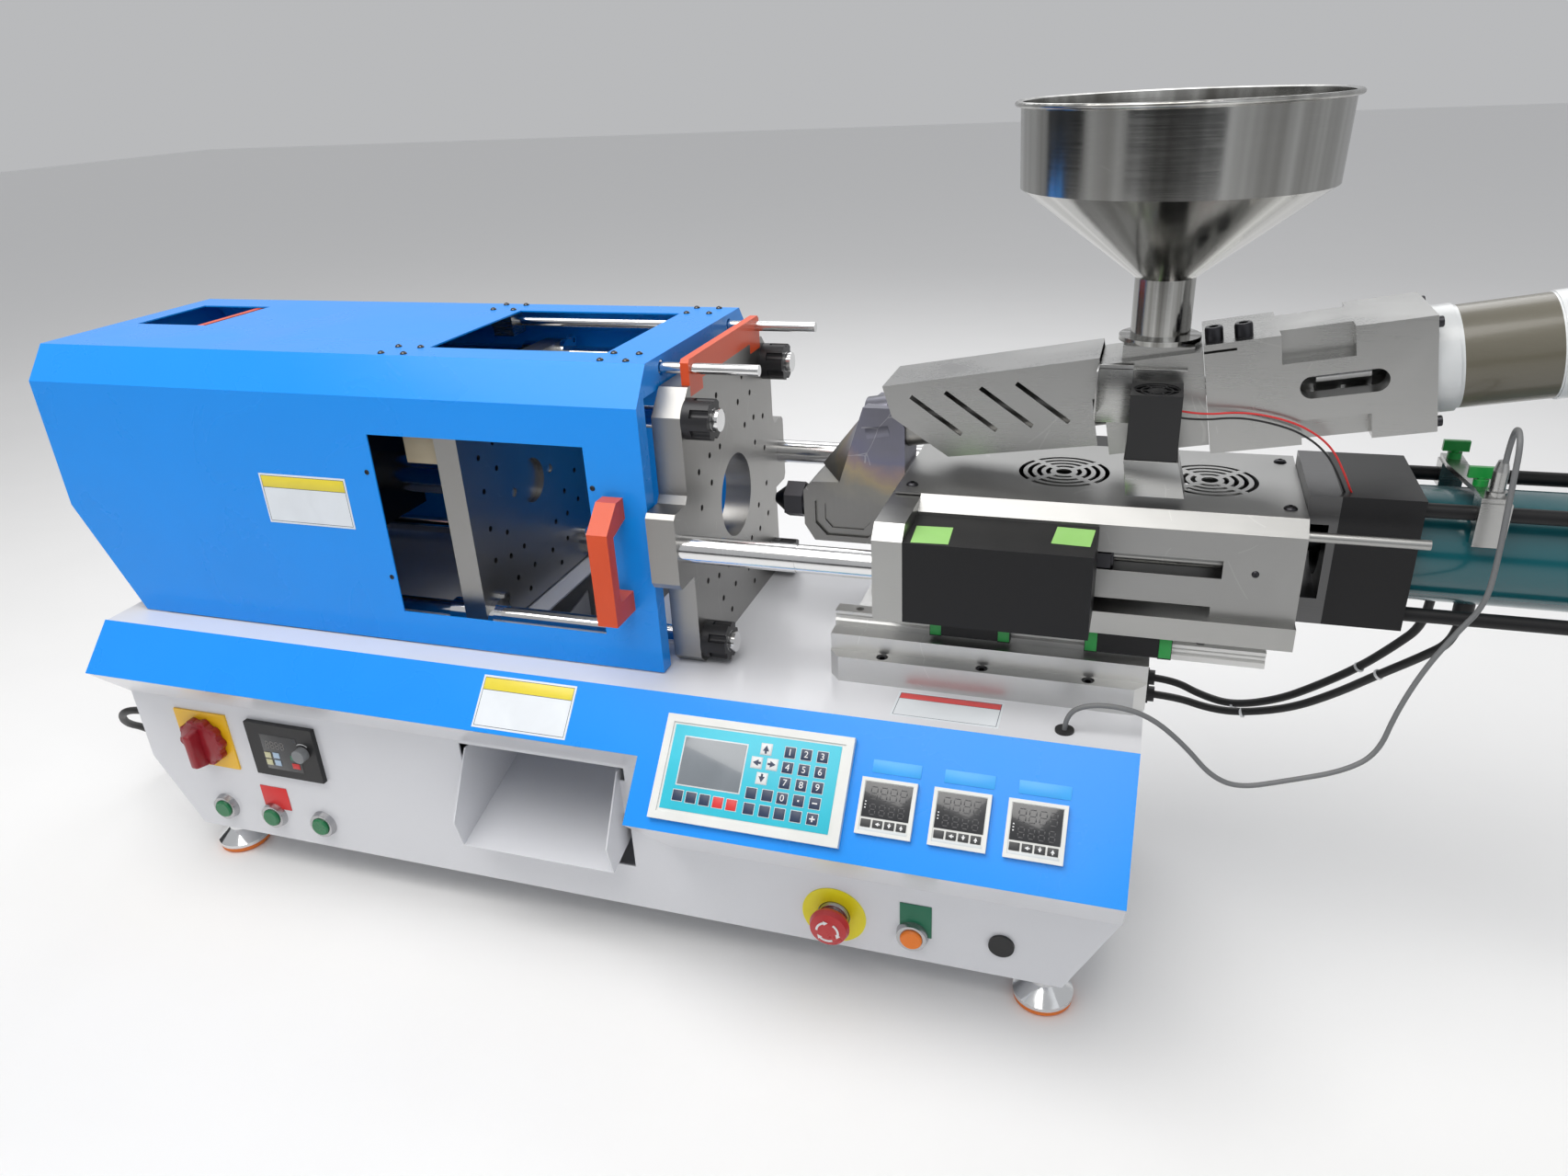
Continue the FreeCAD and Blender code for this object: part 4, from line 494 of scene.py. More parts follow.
metalValues = {
    "blackOxide": dict(color=(0.05, 0.05, 0.055), rough=0.36, lines=(60.0, 60.0, 60.0), depth=0.12),
    "milledSteel": dict(color=(0.32, 0.315, 0.305), rough=0.36, lines=(900.0, 900.0, 30.0), depth=0.2),
    "blockSteel": dict(color=(0.43, 0.43, 0.42), rough=0.3, lines=(14.0, 1100.0, 1100.0), depth=0.2),
    "groundSteel": dict(color=(0.78, 0.78, 0.78), rough=0.17, lines=(500.0, 24.0, 24.0), depth=0.05,
                        scratch=0.15, patch=0.05),
    "polishedChrome": dict(color=(0.82, 0.83, 0.84), rough=0.13, lines=(40.0, 40.0, 40.0), depth=0.02,
                           scratch=0.1, patch=0.04),
    "coverSheet": dict(color=(0.34, 0.34, 0.335), rough=0.42, lines=(10.0, 1300.0, 1300.0), depth=0.2),
    "brushedSheet": dict(color=(0.40, 0.40, 0.395), rough=0.3, lines=(10.0, 1300.0, 1300.0), depth=0.2),
    "milledAluminium": dict(color=(0.47, 0.47, 0.46), rough=0.3, lines=(18.0, 1000.0, 1000.0), depth=0.2),
    "framePlate": dict(color=(0.40, 0.40, 0.39), rough=0.34, lines=(18.0, 1000.0, 1000.0), depth=0.2,
                       source=frameColor),
    "bezelChrome": dict(color=(0.46, 0.46, 0.47), rough=0.2, lines=(40.0, 40.0, 40.0), depth=0.02,
                        scratch=0.1),
    "paleAluminium": dict(color=(0.66, 0.66, 0.65), rough=0.42, lines=(18.0, 1000.0, 1000.0), depth=0.2),
    # the rivets are shiny steel domes: their near-black colour is painted shade
    "rivetSteel": dict(color=(0.09, 0.09, 0.095), rough=0.2, lines=(60.0, 60.0, 60.0), depth=0.05),
    # the hopper's streaked colour is painted reflections
    "spunSteel": dict(color=(0.40, 0.395, 0.38), rough=0.17, lines=(14.0, 14.0, 650.0), depth=0.08,
                      scratch=0.2, patch=0.08, source=spunReflectionColor),
    "nozzleSteel": dict(color=(0.42, 0.42, 0.42), rough=0.34, lines=(260.0, 60.0, 30.0), depth=0.2,
                        source=heatColor),
    "bronze": dict(color=(0.60, 0.42, 0.17), rough=0.3, lines=(300.0, 30.0, 30.0), depth=0.1),
}
plasticValues = {
    "blockBuff": dict(color=(0.50, 0.42, 0.28), rough=0.5),
    "matBlack": dict(color=(0.010, 0.010, 0.011), rough=0.42, dust=0.03),
    "knobGrey": dict(color=(0.22, 0.23, 0.24), rough=0.45),
    "signalRed": dict(color=(0.50, 0.008, 0.012), rough=0.26, coat=0.3),
    "dialRed": dict(color=(0.27, 0.004, 0.012), rough=0.3, coat=0.25),
    "signalGreen": dict(color=(0.004, 0.17, 0.055), rough=0.24, coat=0.3),
    "lampAmber": dict(color=(0.82, 0.19, 0.004), rough=0.3, coat=0.1, glow=0.03),
    "thumbGreen": dict(color=(0.01, 0.30, 0.05), rough=0.32, coat=0.1),
    "footRubber": dict(color=(0.80, 0.20, 0.03), rough=0.6, pit=0.4),
    "blackRubber": dict(color=(0.012, 0.012, 0.012), rough=0.46, pit=0.2),
    "greyJacket": dict(color=(0.16, 0.165, 0.17), rough=0.5, pit=0.2),
    "panelFrame": dict(color=(0.74, 0.75, 0.73), rough=0.36),
    "panelTurquoise": dict(color=(0.03, 0.53, 0.68), rough=0.38, pit=0.05),
    "displayGrey": dict(color=(0.20, 0.225, 0.25), rough=0.16, pit=0.0, coat=0.4),
    "keyRim": dict(color=(0.66, 0.70, 0.72), rough=0.4, pit=0.05),
    "keyNavy": dict(color=(0.018, 0.035, 0.085), rough=0.4, pit=0.05),
    "keyRed": dict(color=(0.66, 0.03, 0.03), rough=0.4, pit=0.05),
    "keyWhite": dict(color=(0.74, 0.76, 0.77), rough=0.4, pit=0.05),
    "keyDark": dict(color=(0.035, 0.037, 0.04), rough=0.45, pit=0.05),
    "keyCream": dict(color=(0.62, 0.60, 0.38), rough=0.45, pit=0.05),
    "keySky": dict(color=(0.42, 0.55, 0.70), rough=0.45, pit=0.05),
    "printWhite": dict(color=(0.80, 0.81, 0.82), rough=0.45, pit=0.05, dust=0.0),
    "windowDark": dict(color=(0.022, 0.023, 0.026), rough=0.2, pit=0.0, coat=0.4),
    "segmentOff": dict(color=(0.045, 0.045, 0.05), rough=0.3, pit=0.0),
    "segmentPale": dict(color=(0.20, 0.19, 0.18), rough=0.3, pit=0.0),
    "plateBlue": dict(color=(0.04, 0.38, 0.88), rough=0.35, pit=0.05),
    "plateGreen": dict(color=(0.005, 0.15, 0.075), rough=0.36, pit=0.05),
    "plateRed": dict(color=(0.70, 0.02, 0.02), rough=0.36, pit=0.05),
    "labelWhite": dict(color=(0.76, 0.80, 0.84), rough=0.3, pit=0.03),
    "labelYellow": dict(color=(0.80, 0.66, 0.05), rough=0.32, pit=0.03),
    "labelRed": dict(color=(0.72, 0.05, 0.05), rough=0.32, pit=0.03),
    "discYellow": dict(color=(0.84, 0.74, 0.01), rough=0.34, pit=0.05),
    "wireBrown": dict(color=(0.10, 0.035, 0.02), rough=0.5),
    "tapeGreen": dict(color=(0.30, 0.62, 0.16), rough=0.5, pit=0.3),
}
finishes = {"tieBars": makeTieBars()}
for maker, values in ((paint, paintValues), (metal, metalValues), (plastic, plasticValues)):
    for name, choice in values.items():
        finishes[name] = maker(name, **choice)

nodeFinish = {
    "cabinetWhite": ["base_cabinet", "parts_chute"],
    "machineBlue": ["console_panel", "safety_hood"],
    "panelFrame": ["operator_panel", "temperature_controllers"],
    "polishedChrome": ["levelling_feet", "platen_bushings"],
    "footRubber": ["foot_pads"],
    "safetyYellow": ["main_switch_plate"],
    "signalRed": ["main_switch_knob", "estop_cap"],
    "matBlack": ["drive_keypad", "cable_fittings", "feed_fan", "feed_fan_rotor", "mains_plug"],
    "knobGrey": ["drive_keypad_knob", "cabinet_electronics"],
    "bezelChrome": ["button_bezels"],
    "signalGreen": ["green_button_left", "green_button_middle", "green_button_right"],
    "lampAmber": ["start_button"],
    "groundSteel": ["estop_plunger", "clamp_ram", "guide_rods", "plasticising_screw"],
    "milledSteel": ["fixed_platen", "moving_platen", "rear_platen", "plasticising_barrel"],
    "tieBars": ["tie_bars"],
    "satinBlack": ["clamp_cylinder", "rail_carriages", "side_boxes", "cylinder_frame"],
    "blockSteel": ["ejector", "hood_bearings", "feed_block"],
    "handlePaint": ["hood_handles"],
    "signalOrange": ["hood_rod_brackets"],
    "paleAluminium": ["rail_block"],
    "framePlate": ["carriage_frame"],
    "nozzleSteel": ["nozzle_block"],
    "blackOxide": ["injection_nozzle", "plunger"],
    "coverSheet": ["injection_cover"],
    "brushedSheet": ["barrel_cover"],
    "spunSteel": ["hopper"],
    "milledAluminium": ["drive_housing", "sensor_mount"],
    "motorPaint": ["gear_motor"],
    "cylinderTeal": ["cylinder_tube"],
    "thumbGreen": ["thumbscrew_rear", "thumbscrew_front"],
    "greyJacket": ["sensor_cable"],
    "blackRubber": ["cylinder_hoses", "mains_lead", "mains_coil"],
}
for finish, members in nodeFinish.items():
    for name in members:
        nodes[name].data.materials.clear()
        nodes[name].data.materials.append(finishes[finish])
print("finishes set on", sum(len(members) for members in nodeFinish.values()), "nodes")

smoothAngle = math.radians(35.0)


def finishPiece(piece, name, finish, body, place=None):
    # place is the frame that the piece was made in, and it ends at the origin with its place in its mesh
    piece.name = name
    piece.data.name = name
    clearPick()
    piece.select_set(True)
    bpy.context.view_layer.objects.active = piece
    if place is not None:
        piece.matrix_world = place @ piece.matrix_world
    bpy.ops.object.transform_apply(location=True, rotation=True, scale=True)
    bpy.ops.object.shade_smooth_by_angle(angle=smoothAngle)
    piece.data.materials.clear()
    piece.data.materials.append(finishes[finish])
    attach(piece, body)
    return piece


def openEdit(piece):
    bpy.context.view_layer.objects.active = piece
    piece.select_set(True)
    bpy.ops.object.mode_set(mode="EDIT")


def makeBlock(low, high, bevel, segments=2):
    # a box between two corners in millimetres, with all its edges rounded
    clearPick()
    centre = [(a + b) / 2000.0 for a, b in zip(low, high)]
    bpy.ops.mesh.primitive_cube_add(size=1.0, location=centre)
    piece = bpy.context.object
    piece.scale = [(b - a) / 1000.0 for a, b in zip(low, high)]
    bpy.ops.object.transform_apply(location=True, rotation=True, scale=True)
    openEdit(piece)
    bpy.ops.mesh.select_all(action="SELECT")
    bpy.ops.mesh.bevel(offset=bevel / 1000.0, segments=segments, affect="EDGES")
    bpy.ops.object.mode_set(mode="OBJECT")
    return piece


axisTurns = {"X": Matrix.Rotation(math.pi / 2, 4, "Y"), "-X": Matrix.Rotation(-math.pi / 2, 4, "Y"),
             "Y": Matrix.Rotation(-math.pi / 2, 4, "X"), "-Y": Matrix.Rotation(math.pi / 2, 4, "X"),
             "Z": Matrix.Identity(4), "-Z": Matrix.Rotation(math.pi, 4, "X")}


def makeTurned(profile, sides=32):
    # a turned piece: a disc at the first radius, grown ring by ring up the profile of (radius, height) in mm
    clearPick()
    bpy.ops.mesh.primitive_circle_add(vertices=sides, radius=profile[0][0] / 1000.0, fill_type="NGON",
                                      location=(0, 0, profile[0][1] / 1000.0))
    piece = bpy.context.object
    bpy.ops.object.transform_apply(location=True, rotation=True, scale=True)
    openEdit(piece)
    bpy.ops.mesh.select_all(action="SELECT")
    for before, after in zip(profile, profile[1:]):
        rise = (after[1] - before[1]) / 1000.0
        grow = max(after[0], 0.01) / max(before[0], 0.01)
        bpy.ops.mesh.extrude_region_move(TRANSFORM_OT_translate={"value": (0, 0, rise)})
        bpy.ops.transform.resize(value=(grow, grow, 1.0))
    bpy.ops.mesh.select_all(action="SELECT")
    bpy.ops.mesh.normals_make_consistent(inside=False)
    bpy.ops.object.mode_set(mode="OBJECT")
    return piece


def copyPiece(source, place):
    piece = source.copy()
    piece.data = source.data.copy()
    bpy.context.scene.collection.objects.link(piece)
    piece.matrix_world = place
    return piece


def joinPieces(pieces):
    # each piece's place goes into its mesh first, so that the whole sits at the origin
    clearPick()
    for piece in pieces:
        piece.select_set(True)
    bpy.context.view_layer.objects.active = pieces[0]
    bpy.ops.object.transform_apply(location=True, rotation=True, scale=True)
    bpy.ops.object.join()
    return bpy.context.object


def dropPiece(piece):
    bpy.data.objects.remove(piece, do_unlink=True)


def onAxis(x, y, z, axis):
    return Matrix.Translation(Vector((x, y, z)) / 1000.0) @ axisTurns[axis]


def makeCapScrew(radius, height):
    # a cap screw's head with a round recess, its base at z 0
    return makeTurned([(radius, 0.0), (radius, height * 0.85), (radius * 0.88, height),
                       (radius * 0.52, height),
                       (radius * 0.5, height * 0.45)], sides=24)


def makeButtonScrew(radius, height):
    # a low domed head with a small round recess
    return makeTurned([(radius, 0.0), (radius * 0.98, height * 0.25), (radius * 0.75, height * 0.75),
                       (radius * 0.45, height), (radius * 0.36, height), (radius * 0.34, height * 0.5)],
                       sides=20)


def scatterScrews(name, values):
    # one head copied to every place, (x, y, z, axis) in millimetres in the set's own frame
    model = values["head"](values["radius"], values["height"])
    copies = [copyPiece(model, onAxis(*place)) for place in values["places"]]
    dropPiece(model)
    finish, slot = values.get("finish", ("blackOxide", "black_metal"))
    finishPiece(joinPieces(copies), name, finish, values["body"], values.get("frame", machineFrame))


rivetValues = {"x": (-698.0, -469.0), "y": (axisY - 99.5, axisY + 99.5), "z": tableTop + 293.3,
               "around": ((-12.0, 13.0), (13.0, 13.0), (-13.0, -13.0), (12.0, -13.0))}
rivetPlaces = [(x + dx, y + dy, rivetValues["z"], "Z") for x in rivetValues["x"] for y in rivetValues["y"]
               for dx, dy in rivetValues["around"]]
screwValues = {
    "rail_block_screws": {
        "head": makeCapScrew, "radius": 5.2, "height": 5.0, "body": "machine_base",
        "places": [(x, y, tableTop + 19.3, "Z") for x in (-231.0, -140.0, -48.0) for y in (66.5, 286.5)]},
    "cover_screws": {
        "head": makeButtonScrew, "radius": 5.5, "height": 2.6, "body": "carriage",
        "places": [(x, y, tableTop + 175.8, "Z") for x in (-214.0, 97.5) for y in (118.0, 235.0)]},
    # the rivets' near-black finish is painted shade on shiny steel heads
    "hood_rivets": {
        "head": makeButtonScrew, "radius": 3.3, "height": 2.2, "body": "hood", "places": rivetPlaces,
        "finish": ("rivetSteel", "ground_steel")},
    "clamp_screws": {
        "head": makeCapScrew, "radius": 7.0, "height": 11.0, "body": "carriage", "frame": tiltFrame,
        "places": [(x, -30.0, 45.0, "Z") for x in (50.0, 72.0)]},
    "flange_screws": {
        "head": makeCapScrew, "radius": 4.2, "height": 4.0, "body": "carriage", "frame": tiltFrame,
        "places": [(205.2, y, z, "X") for y in (-38.5, 38.5) for z in (-38.5, 38.5)]},
    "cover_side_screws": {
        "head": makeButtonScrew, "radius": 3.0, "height": 1.6, "body": "carriage",
        "places": [(x, y, 442.0, axis) for x in (-140.0, 75.0) for y, axis in ((85.0, "-Y"), (268.0, "Y"))]},
    "hood_window_screws": {
        "head": makeButtonScrew, "radius": 2.6, "height": 1.1, "body": "hood",
        "places": [(-729.7, 31.7, 497.2, "-Y"), (-727.2, 31.7, 386.2, "-Y"), (-487.7, 31.7, 497.2, "-Y")]},
}
for name, values in screwValues.items():
    scatterScrews(name, values)
print("screws made")

routes = {
    "sensor": [(242, 124.5, 533.55), (242, 124.5, 563.8), (240, 94, 563.5), (241, 92, 520), (243, 91, 470),
               (242, 90, 430), (226, 87, 405), (208, 82, 372), (194, 76, 334), (185, 67, 298),
               (160, 58, 283),
               (118, 50, 272), (82, 43, 263.5), (58, 38, 275), (36, 34, 303), (8, 28, 330), (-18, 22.5, 341),
               (-46, 21.3, 340), (-62.3, 20.5, 328.5), (-62.3, 20.5, 311.5)],
    "frontHose": [(3, 255, 222.2), (33, 255, 222.2), (68, 251, 215), (98, 242, 220), (140, 229, 239),
                  (174, 213, 270), (202, 195, 304), (228, 177, 335), (248, 163, 361.5), (248, 163, 389.05)],
    "backHose": [(3, 290, 222.2), (31, 290, 222.2), (60, 284, 211), (92, 272, 210), (132, 254, 233),
                 (164, 237, 265), (190, 219, 297), (212, 203, 331), (229, 190, 361.5), (229, 190, 389.05)],
    "lead": [(-1100.5, 40, 165.7), (-1144.5, 40, 165.7), (-1188.5, 46, 151.7), (-1220.5, 70, 115.7),
             (-1234.5, 108, 83.7), (-1236.5, 160, 8.5), (-1236.5, 230, 4.5), (-1221.5, 310, 4.5),
             (-1171.5, 368, 4.5), (-1096.5, 380, 4.5), (-1016.5, 386, 4.5)],
}
coilValues = {"centre": (-926.5, 443.0), "outer": 57.0, "inner": 48.0, "thick": 9.0, "turns": 3.5,
              "steps": 16}


def coilPoints(values):
    # lower layer runs inwards, upper layer runs outwards, and the end leaves towards the plug
    points = []
    count = int(values["turns"] * values["steps"])
    for step in range(count + 1):
        share = step / count
        turn = -math.pi / 2 + 2 * math.pi * step / values["steps"]
        inward = 1.0 - abs(2.0 * share - 1.0)
        radius = values["outer"] - (values["outer"] - values["inner"]) * min(1.0, inward * 2.0)
        climb = min(1.0, max(0.0, (share - 0.42) / 0.16))
        height = values["thick"] * (0.5 + climb)
        points.append((values["centre"][0] + radius * math.cos(turn),
                       values["centre"][1] + radius * math.sin(turn), height))
    return points


def makeCord(name, points, radius, finish, bevelSteps=5):
    data = bpy.data.curves.new(name, "CURVE")
    data.dimensions = "3D"
    data.bevel_depth = radius / 1000.0
    data.bevel_resolution = bevelSteps
    data.resolution_u = 8
    data.use_fill_caps = True
    spline = data.splines.new("NURBS")
    spline.points.add(len(points) - 1)
    for point, place in zip(spline.points, points):
        point.co = (*at(*place), 1.0)
    spline.order_u = 3
    spline.use_endpoint_u = True
    piece = bpy.data.objects.new(name, data)
    bpy.context.scene.collection.objects.link(piece)
    data.materials.append(finishes[finish])
    return piece


def tubeLength(points):
    # length of a smooth line through the middles of the runs, in metres
    curve = makeCord("lengthProbe", points, 1.0, "matBlack")
    curve.data.bevel_depth = 0.0
    mesh = bpy.data.meshes.new_from_object(curve)
    places = [vertex.co for vertex in mesh.vertices]
    total = sum((places[edge.vertices[0]] - places[edge.vertices[1]]).length for edge in mesh.edges)
    dropPiece(curve)
    bpy.data.meshes.remove(mesh)
    return total


cordValues = {"sensorRadius": 2.2, "hoseRadius": 3.95, "leadRadius": 4.5,
              "leadEnd": [(-950.0, 500.0, 13.8), (-968.0, 500.0, 14.0)]}
sensorCord = makeCord("sensor_cord", routes["sensor"], cordValues["sensorRadius"], "greyJacket")
frontHose = makeCord("front_hose", routes["frontHose"], cordValues["hoseRadius"], "blackRubber")
backHose = makeCord("back_hose", routes["backHose"], cordValues["hoseRadius"], "blackRubber")
leadPoints = routes["lead"] + coilPoints(coilValues) + cordValues["leadEnd"]
leadCord = makeCord("mains_cord", leadPoints, cordValues["leadRadius"], "blackRubber")
for piece, body, slot in ((sensorCord, "machine_base", "grey_cable"),
                          (frontHose, "machine_base", "black_hose"),
                          (backHose, "machine_base", "black_hose"),
                          (leadCord, "machine_base", "black_hose")):
    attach(piece, body)
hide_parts("sensor_cable")
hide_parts("cylinder_hoses")
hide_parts("cylinder_hoses")
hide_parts("mains_lead", "mains_coil")
cordLengths = {"sensor": tubeLength(routes["sensor"]), "front": tubeLength(routes["frontHose"]),
               "back": tubeLength(routes["backHose"]), "lead": tubeLength(leadPoints)}
print("cord lengths", {name: round(value, 3) for name, value in cordLengths.items()})

panelValues = {"left": -401.0, "top": -28.5, "width": 156.0, "height": 76.0, "level": 6.5, "key": 9.4,
               "rim": 10.6,
               "display": (0.077, 0.138, 0.453, 0.698)}


def panelPoint(a, b):
    return panelValues["left"] + panelValues["width"] * a, panelValues["top"] - panelValues["height"] * b


def slabRow(name, boxes, finish, place, body="machine_base", bevel=0.35):
    # one piece from many small bevelled blocks, each a low and a high corner in millimetres
    blocks = [makeBlock(low, high, bevel) for low, high in boxes]
    return finishPiece(joinPieces(blocks), name, finish, body, place)


def centredBox(x, y, width, height, low, high):
    return (x - width / 2, y - height / 2, low), (x + width / 2, y + height / 2, high)


level = panelValues["level"]
slabRow("panel_face", [((panelValues["left"], panelValues["top"] - panelValues["height"], level),
                        (panelValues["left"] + panelValues["width"], panelValues["top"], level + 0.5))],
        "panelTurquoise", slopeFrame, bevel=0.2)
x0, y0 = panelPoint(*panelValues["display"][:2])
x1, y1 = panelPoint(*panelValues["display"][2:])
slabRow("panel_display_rim", [((x0 - 1.2, y1 - 1.2, level + 0.4), (x1 + 1.2, y0 + 1.2, level + 0.8))],
        "keyRim", slopeFrame, bevel=0.2)
slabRow("panel_display", [((x0, y1, level + 0.5), (x1, y0, level + 1.0))], "displayGrey",
        slopeFrame, bevel=0.2)
numberKeys = [(a, b) for b in (0.153, 0.33, 0.506, 0.683, 0.859) for a in (0.71, 0.805, 0.90)]
navyKeys = numberKeys + [(0.527, 0.677), (0.622, 0.676), (0.529, 0.855), (0.622, 0.857),
                         (0.097, 0.829), (0.179, 0.834), (0.261, 0.838)]
redKeys = [(0.343, 0.842), (0.425, 0.846)]
arrowKeys = {(0.569, 0.152): 0.0, (0.526, 0.32): math.pi / 2, (0.618, 0.318): -math.pi / 2,
             (0.572, 0.494): math.pi}
for name, keys, finish in (("panel_navy_keys", navyKeys, "keyNavy"), ("panel_red_keys", redKeys, "keyRed"),
                           ("panel_arrow_keys", list(arrowKeys), "keyWhite")):
    places = [panelPoint(a, b) for a, b in keys]
    slabRow(name + "_rims", [centredBox(x, y, panelValues["rim"], panelValues["rim"], level + 0.4,
                                        level + 0.75)
                             for x, y in places], "keyRim", slopeFrame, bevel=0.25)
    slabRow(name, [centredBox(x, y, panelValues["key"], panelValues["key"], level + 0.5, level + 1.25)
                   for x, y in places], finish, slopeFrame, bevel=0.45)


def makeFigure(text, size, x, y, z):
    clearPick()
    bpy.ops.object.text_add(location=(0, 0, 0))
    figure = bpy.context.object
    figure.data.body = text
    figure.data.size = size / 1000.0
    figure.data.extrude = 0.00008
    figure.data.align_x = "CENTER"
    figure.data.align_y = "CENTER"
    bpy.ops.object.convert(target="MESH")
    figure = bpy.context.object
    figure.location = (x / 1000.0, y / 1000.0, z / 1000.0)
    bpy.ops.object.transform_apply(location=True, rotation=True, scale=True)
    return figure


def makeArrow(x, y, z, turn, size=6.0):
    # a flat arrow: a triangle and a short stem
    clearPick()
    bpy.ops.mesh.primitive_cylinder_add(vertices=3, radius=size * 0.56 / 1000, depth=0.0002,
                                        location=(0, 0, 0))
    head = bpy.context.object
    stem = makeBlock((-size * 0.16, -size * 0.68, -0.1), (size * 0.16, -size * 0.16, 0.1), 0.02, 1)
    arrow = joinPieces([head, stem])
    arrow.matrix_world = Matrix.Translation(Vector((x, y, z)) / 1000) @ Matrix.Rotation(turn, 4, "Z")
    return arrow


figures = [makeFigure(text, 8.2, *panelPoint(a, b), level + 1.3) for text,
           (a, b) in zip("1234567890", numberKeys)]
signs = [makeBlock(*centredBox(*panelPoint(*numberKeys[index]), wide, tall, level + 1.2, level + 1.38), 0.05,
                   1)
         for index, wide, tall in ((10, 1.5, 1.5), (11, 4.6, 1.1), (14, 5.0, 1.2), (14, 1.2, 5.0))]
finishPiece(joinPieces(figures + signs), "panel_figures", "printWhite", "machine_base",
            slopeFrame)
arrows = [makeArrow(*panelPoint(a, b), level + 1.3, turn) for (a, b), turn in arrowKeys.items()]
finishPiece(joinPieces(arrows), "panel_arrows", "keyNavy", "machine_base", slopeFrame)
print("operator panel made")

controllerValues = {"left": (-223.1, -160.9, -99.1), "top": -51.0, "level": 6.2, "digit": (6.4, 10.5),
                    "smallDigit": (5.6, 8.6)}


def segmentBoxes(x, y, width, height, low, high, thick=0.9):
    # the seven bars of one unlit digit, its lower left corner at (x, y)
    half = height / 2
    bars = [((x + thick, y + k * half - thick / 2, low), (x + width - thick, y + k * half + thick / 2, high))
            for k in (0, 1, 2)]
    for side in (0.0, width - thick):
        bars += [((x + side, y + k * half + thick, low),
                  (x + side + thick, y + (k + 1) * half - thick, high))
                 for k in (0, 1)]
    return bars


windows, keys, plates, segments, ticks, footStrips = [], [], [], [], [], []
top, low = controllerValues["top"], controllerValues["level"]
for left in controllerValues["left"]:
    windows.append(((left + 3.6, top - 33.5, low), (left + 44.4, top - 3.6, low + 0.45)))
    for index in range(4):
        x = left + 4.2 + 10.2 * index
        keys.append(((x, top - 41.8, low), (x + 8.6, top - 35.2, low + 0.7)))
        for x, y, size in ((left + 9.0 + 8.4 * index, top - 18.0, controllerValues["digit"]),
                           (left + 9.8 + 8.2 * index, top - 31.0, controllerValues["smallDigit"])):
            segments += segmentBoxes(x, y, *size, low + 0.4, low + 0.52)
    ticks += [((left + 5.4, top - 21.0 - 2.6 * step, low + 0.4),
               (left + 6.6, top - 20.0 - 2.6 * step, low + 0.55))
              for step in range(3)]
    footStrips.append(((left + 3.4, top - 45.0, low), (left + 44.6, top - 42.4, low + 0.3)))
    plates.append(((left + 6.5, top + 5.0, 2.0), (left + 49.0, top + 16.4, 2.5)))
slabRow("controller_windows", windows, "windowDark", slopeFrame, bevel=0.15)
slabRow("controller_keys", keys, "keyDark", slopeFrame, bevel=0.3)
slabRow("controller_digits", segments, "segmentOff", slopeFrame, bevel=0.03)
slabRow("controller_ticks", ticks, "printWhite", slopeFrame, bevel=0.03)
slabRow("controller_strips", footStrips, "keyRim", slopeFrame, bevel=0.1)
slabRow("console_plates", plates, "plateBlue", slopeFrame, bevel=0.2)
arrows = []
for left in controllerValues["left"]:
    for index, turn in ((1, math.pi / 2), (2, math.pi), (3, 0.0)):
        arrows.append(makeArrow(left + 8.5 + 10.2 * index, top - 38.5, low + 0.72, turn, 3.4))
finishPiece(joinPieces(arrows), "controller_arrows", "printWhite", "machine_base",
            slopeFrame)
print("controllers made")

labelValues = {"band": 0.27, "rim": 2.0}


def makeLabel(name, width, height, bandFinish, place, body):
    # a bare white field with a coloured band along its top and a thin dark line about it
    field = makeBlock((0, 0, 0), (width, height, 0.25), 0.1, 1)
    finishPiece(field, name + "_field", "labelWhite", body, place)
    rim, band = labelValues["rim"], height * labelValues["band"]
    lines = [((rim, rim, 0.2), (width - rim, rim + 0.5, 0.32)),
             ((rim, rim, 0.2), (rim + 0.5, height - rim, 0.32)),
             ((width - rim - 0.5, rim, 0.2), (width - rim, height - rim, 0.32)),
             ((rim, height - rim - 0.5, 0.2), (width - rim, height - rim, 0.32)),
             ((rim, height - band - 0.5, 0.2), (width - rim, height - band, 0.32))]
    slabRow(name + "_lines", lines, "keyNavy", place, body, 0.04)
    slabRow(name + "_band", [((rim + 0.5, height - band, 0.15),
                              (width - rim - 0.5, height - rim - 0.5, 0.3))],
            bandFinish, place, body, 0.05)


uprightTurn = Matrix.Rotation(math.pi / 2, 4, "X")
makeLabel("hood_label", 104.0, 53.0, "labelYellow",
          Matrix.Translation(at(-862.0, 31.65, 435.5)) @ uprightTurn,
          "hood")
makeLabel("console_label", 101.0, 52.0, "labelYellow",
          slopeFrame @ Matrix.Translation(Vector((-611.0, -57.5, 2.0)) / 1000), "machine_base")
makeLabel("table_label", 95.0, 41.5, "labelRed", Matrix.Translation(at(-211.5, 10.8, tableTop)),
          "machine_base")
print("label fields made")

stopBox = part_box("estop_plunger")
stopX = (stopBox[0][0] + stopBox[1][0]) / 2
stopZ = (stopBox[0][2] + stopBox[1][2]) / 2
stopPlace = Matrix.Translation(Vector((stopX, frontFace, stopZ))) @ uprightTurn


def finishTurned(profile, name, finish, body, place, sides=48):
    return finishPiece(makeTurned(profile, sides), name, finish, body, place)


def makeRing(radius, thick, sides=48, ringSides=10):
    clearPick()
    bpy.ops.mesh.primitive_torus_add(major_radius=radius / 1000, minor_radius=thick / 1000,
                                     major_segments=sides,
                                     minor_segments=ringSides)
    return bpy.context.object


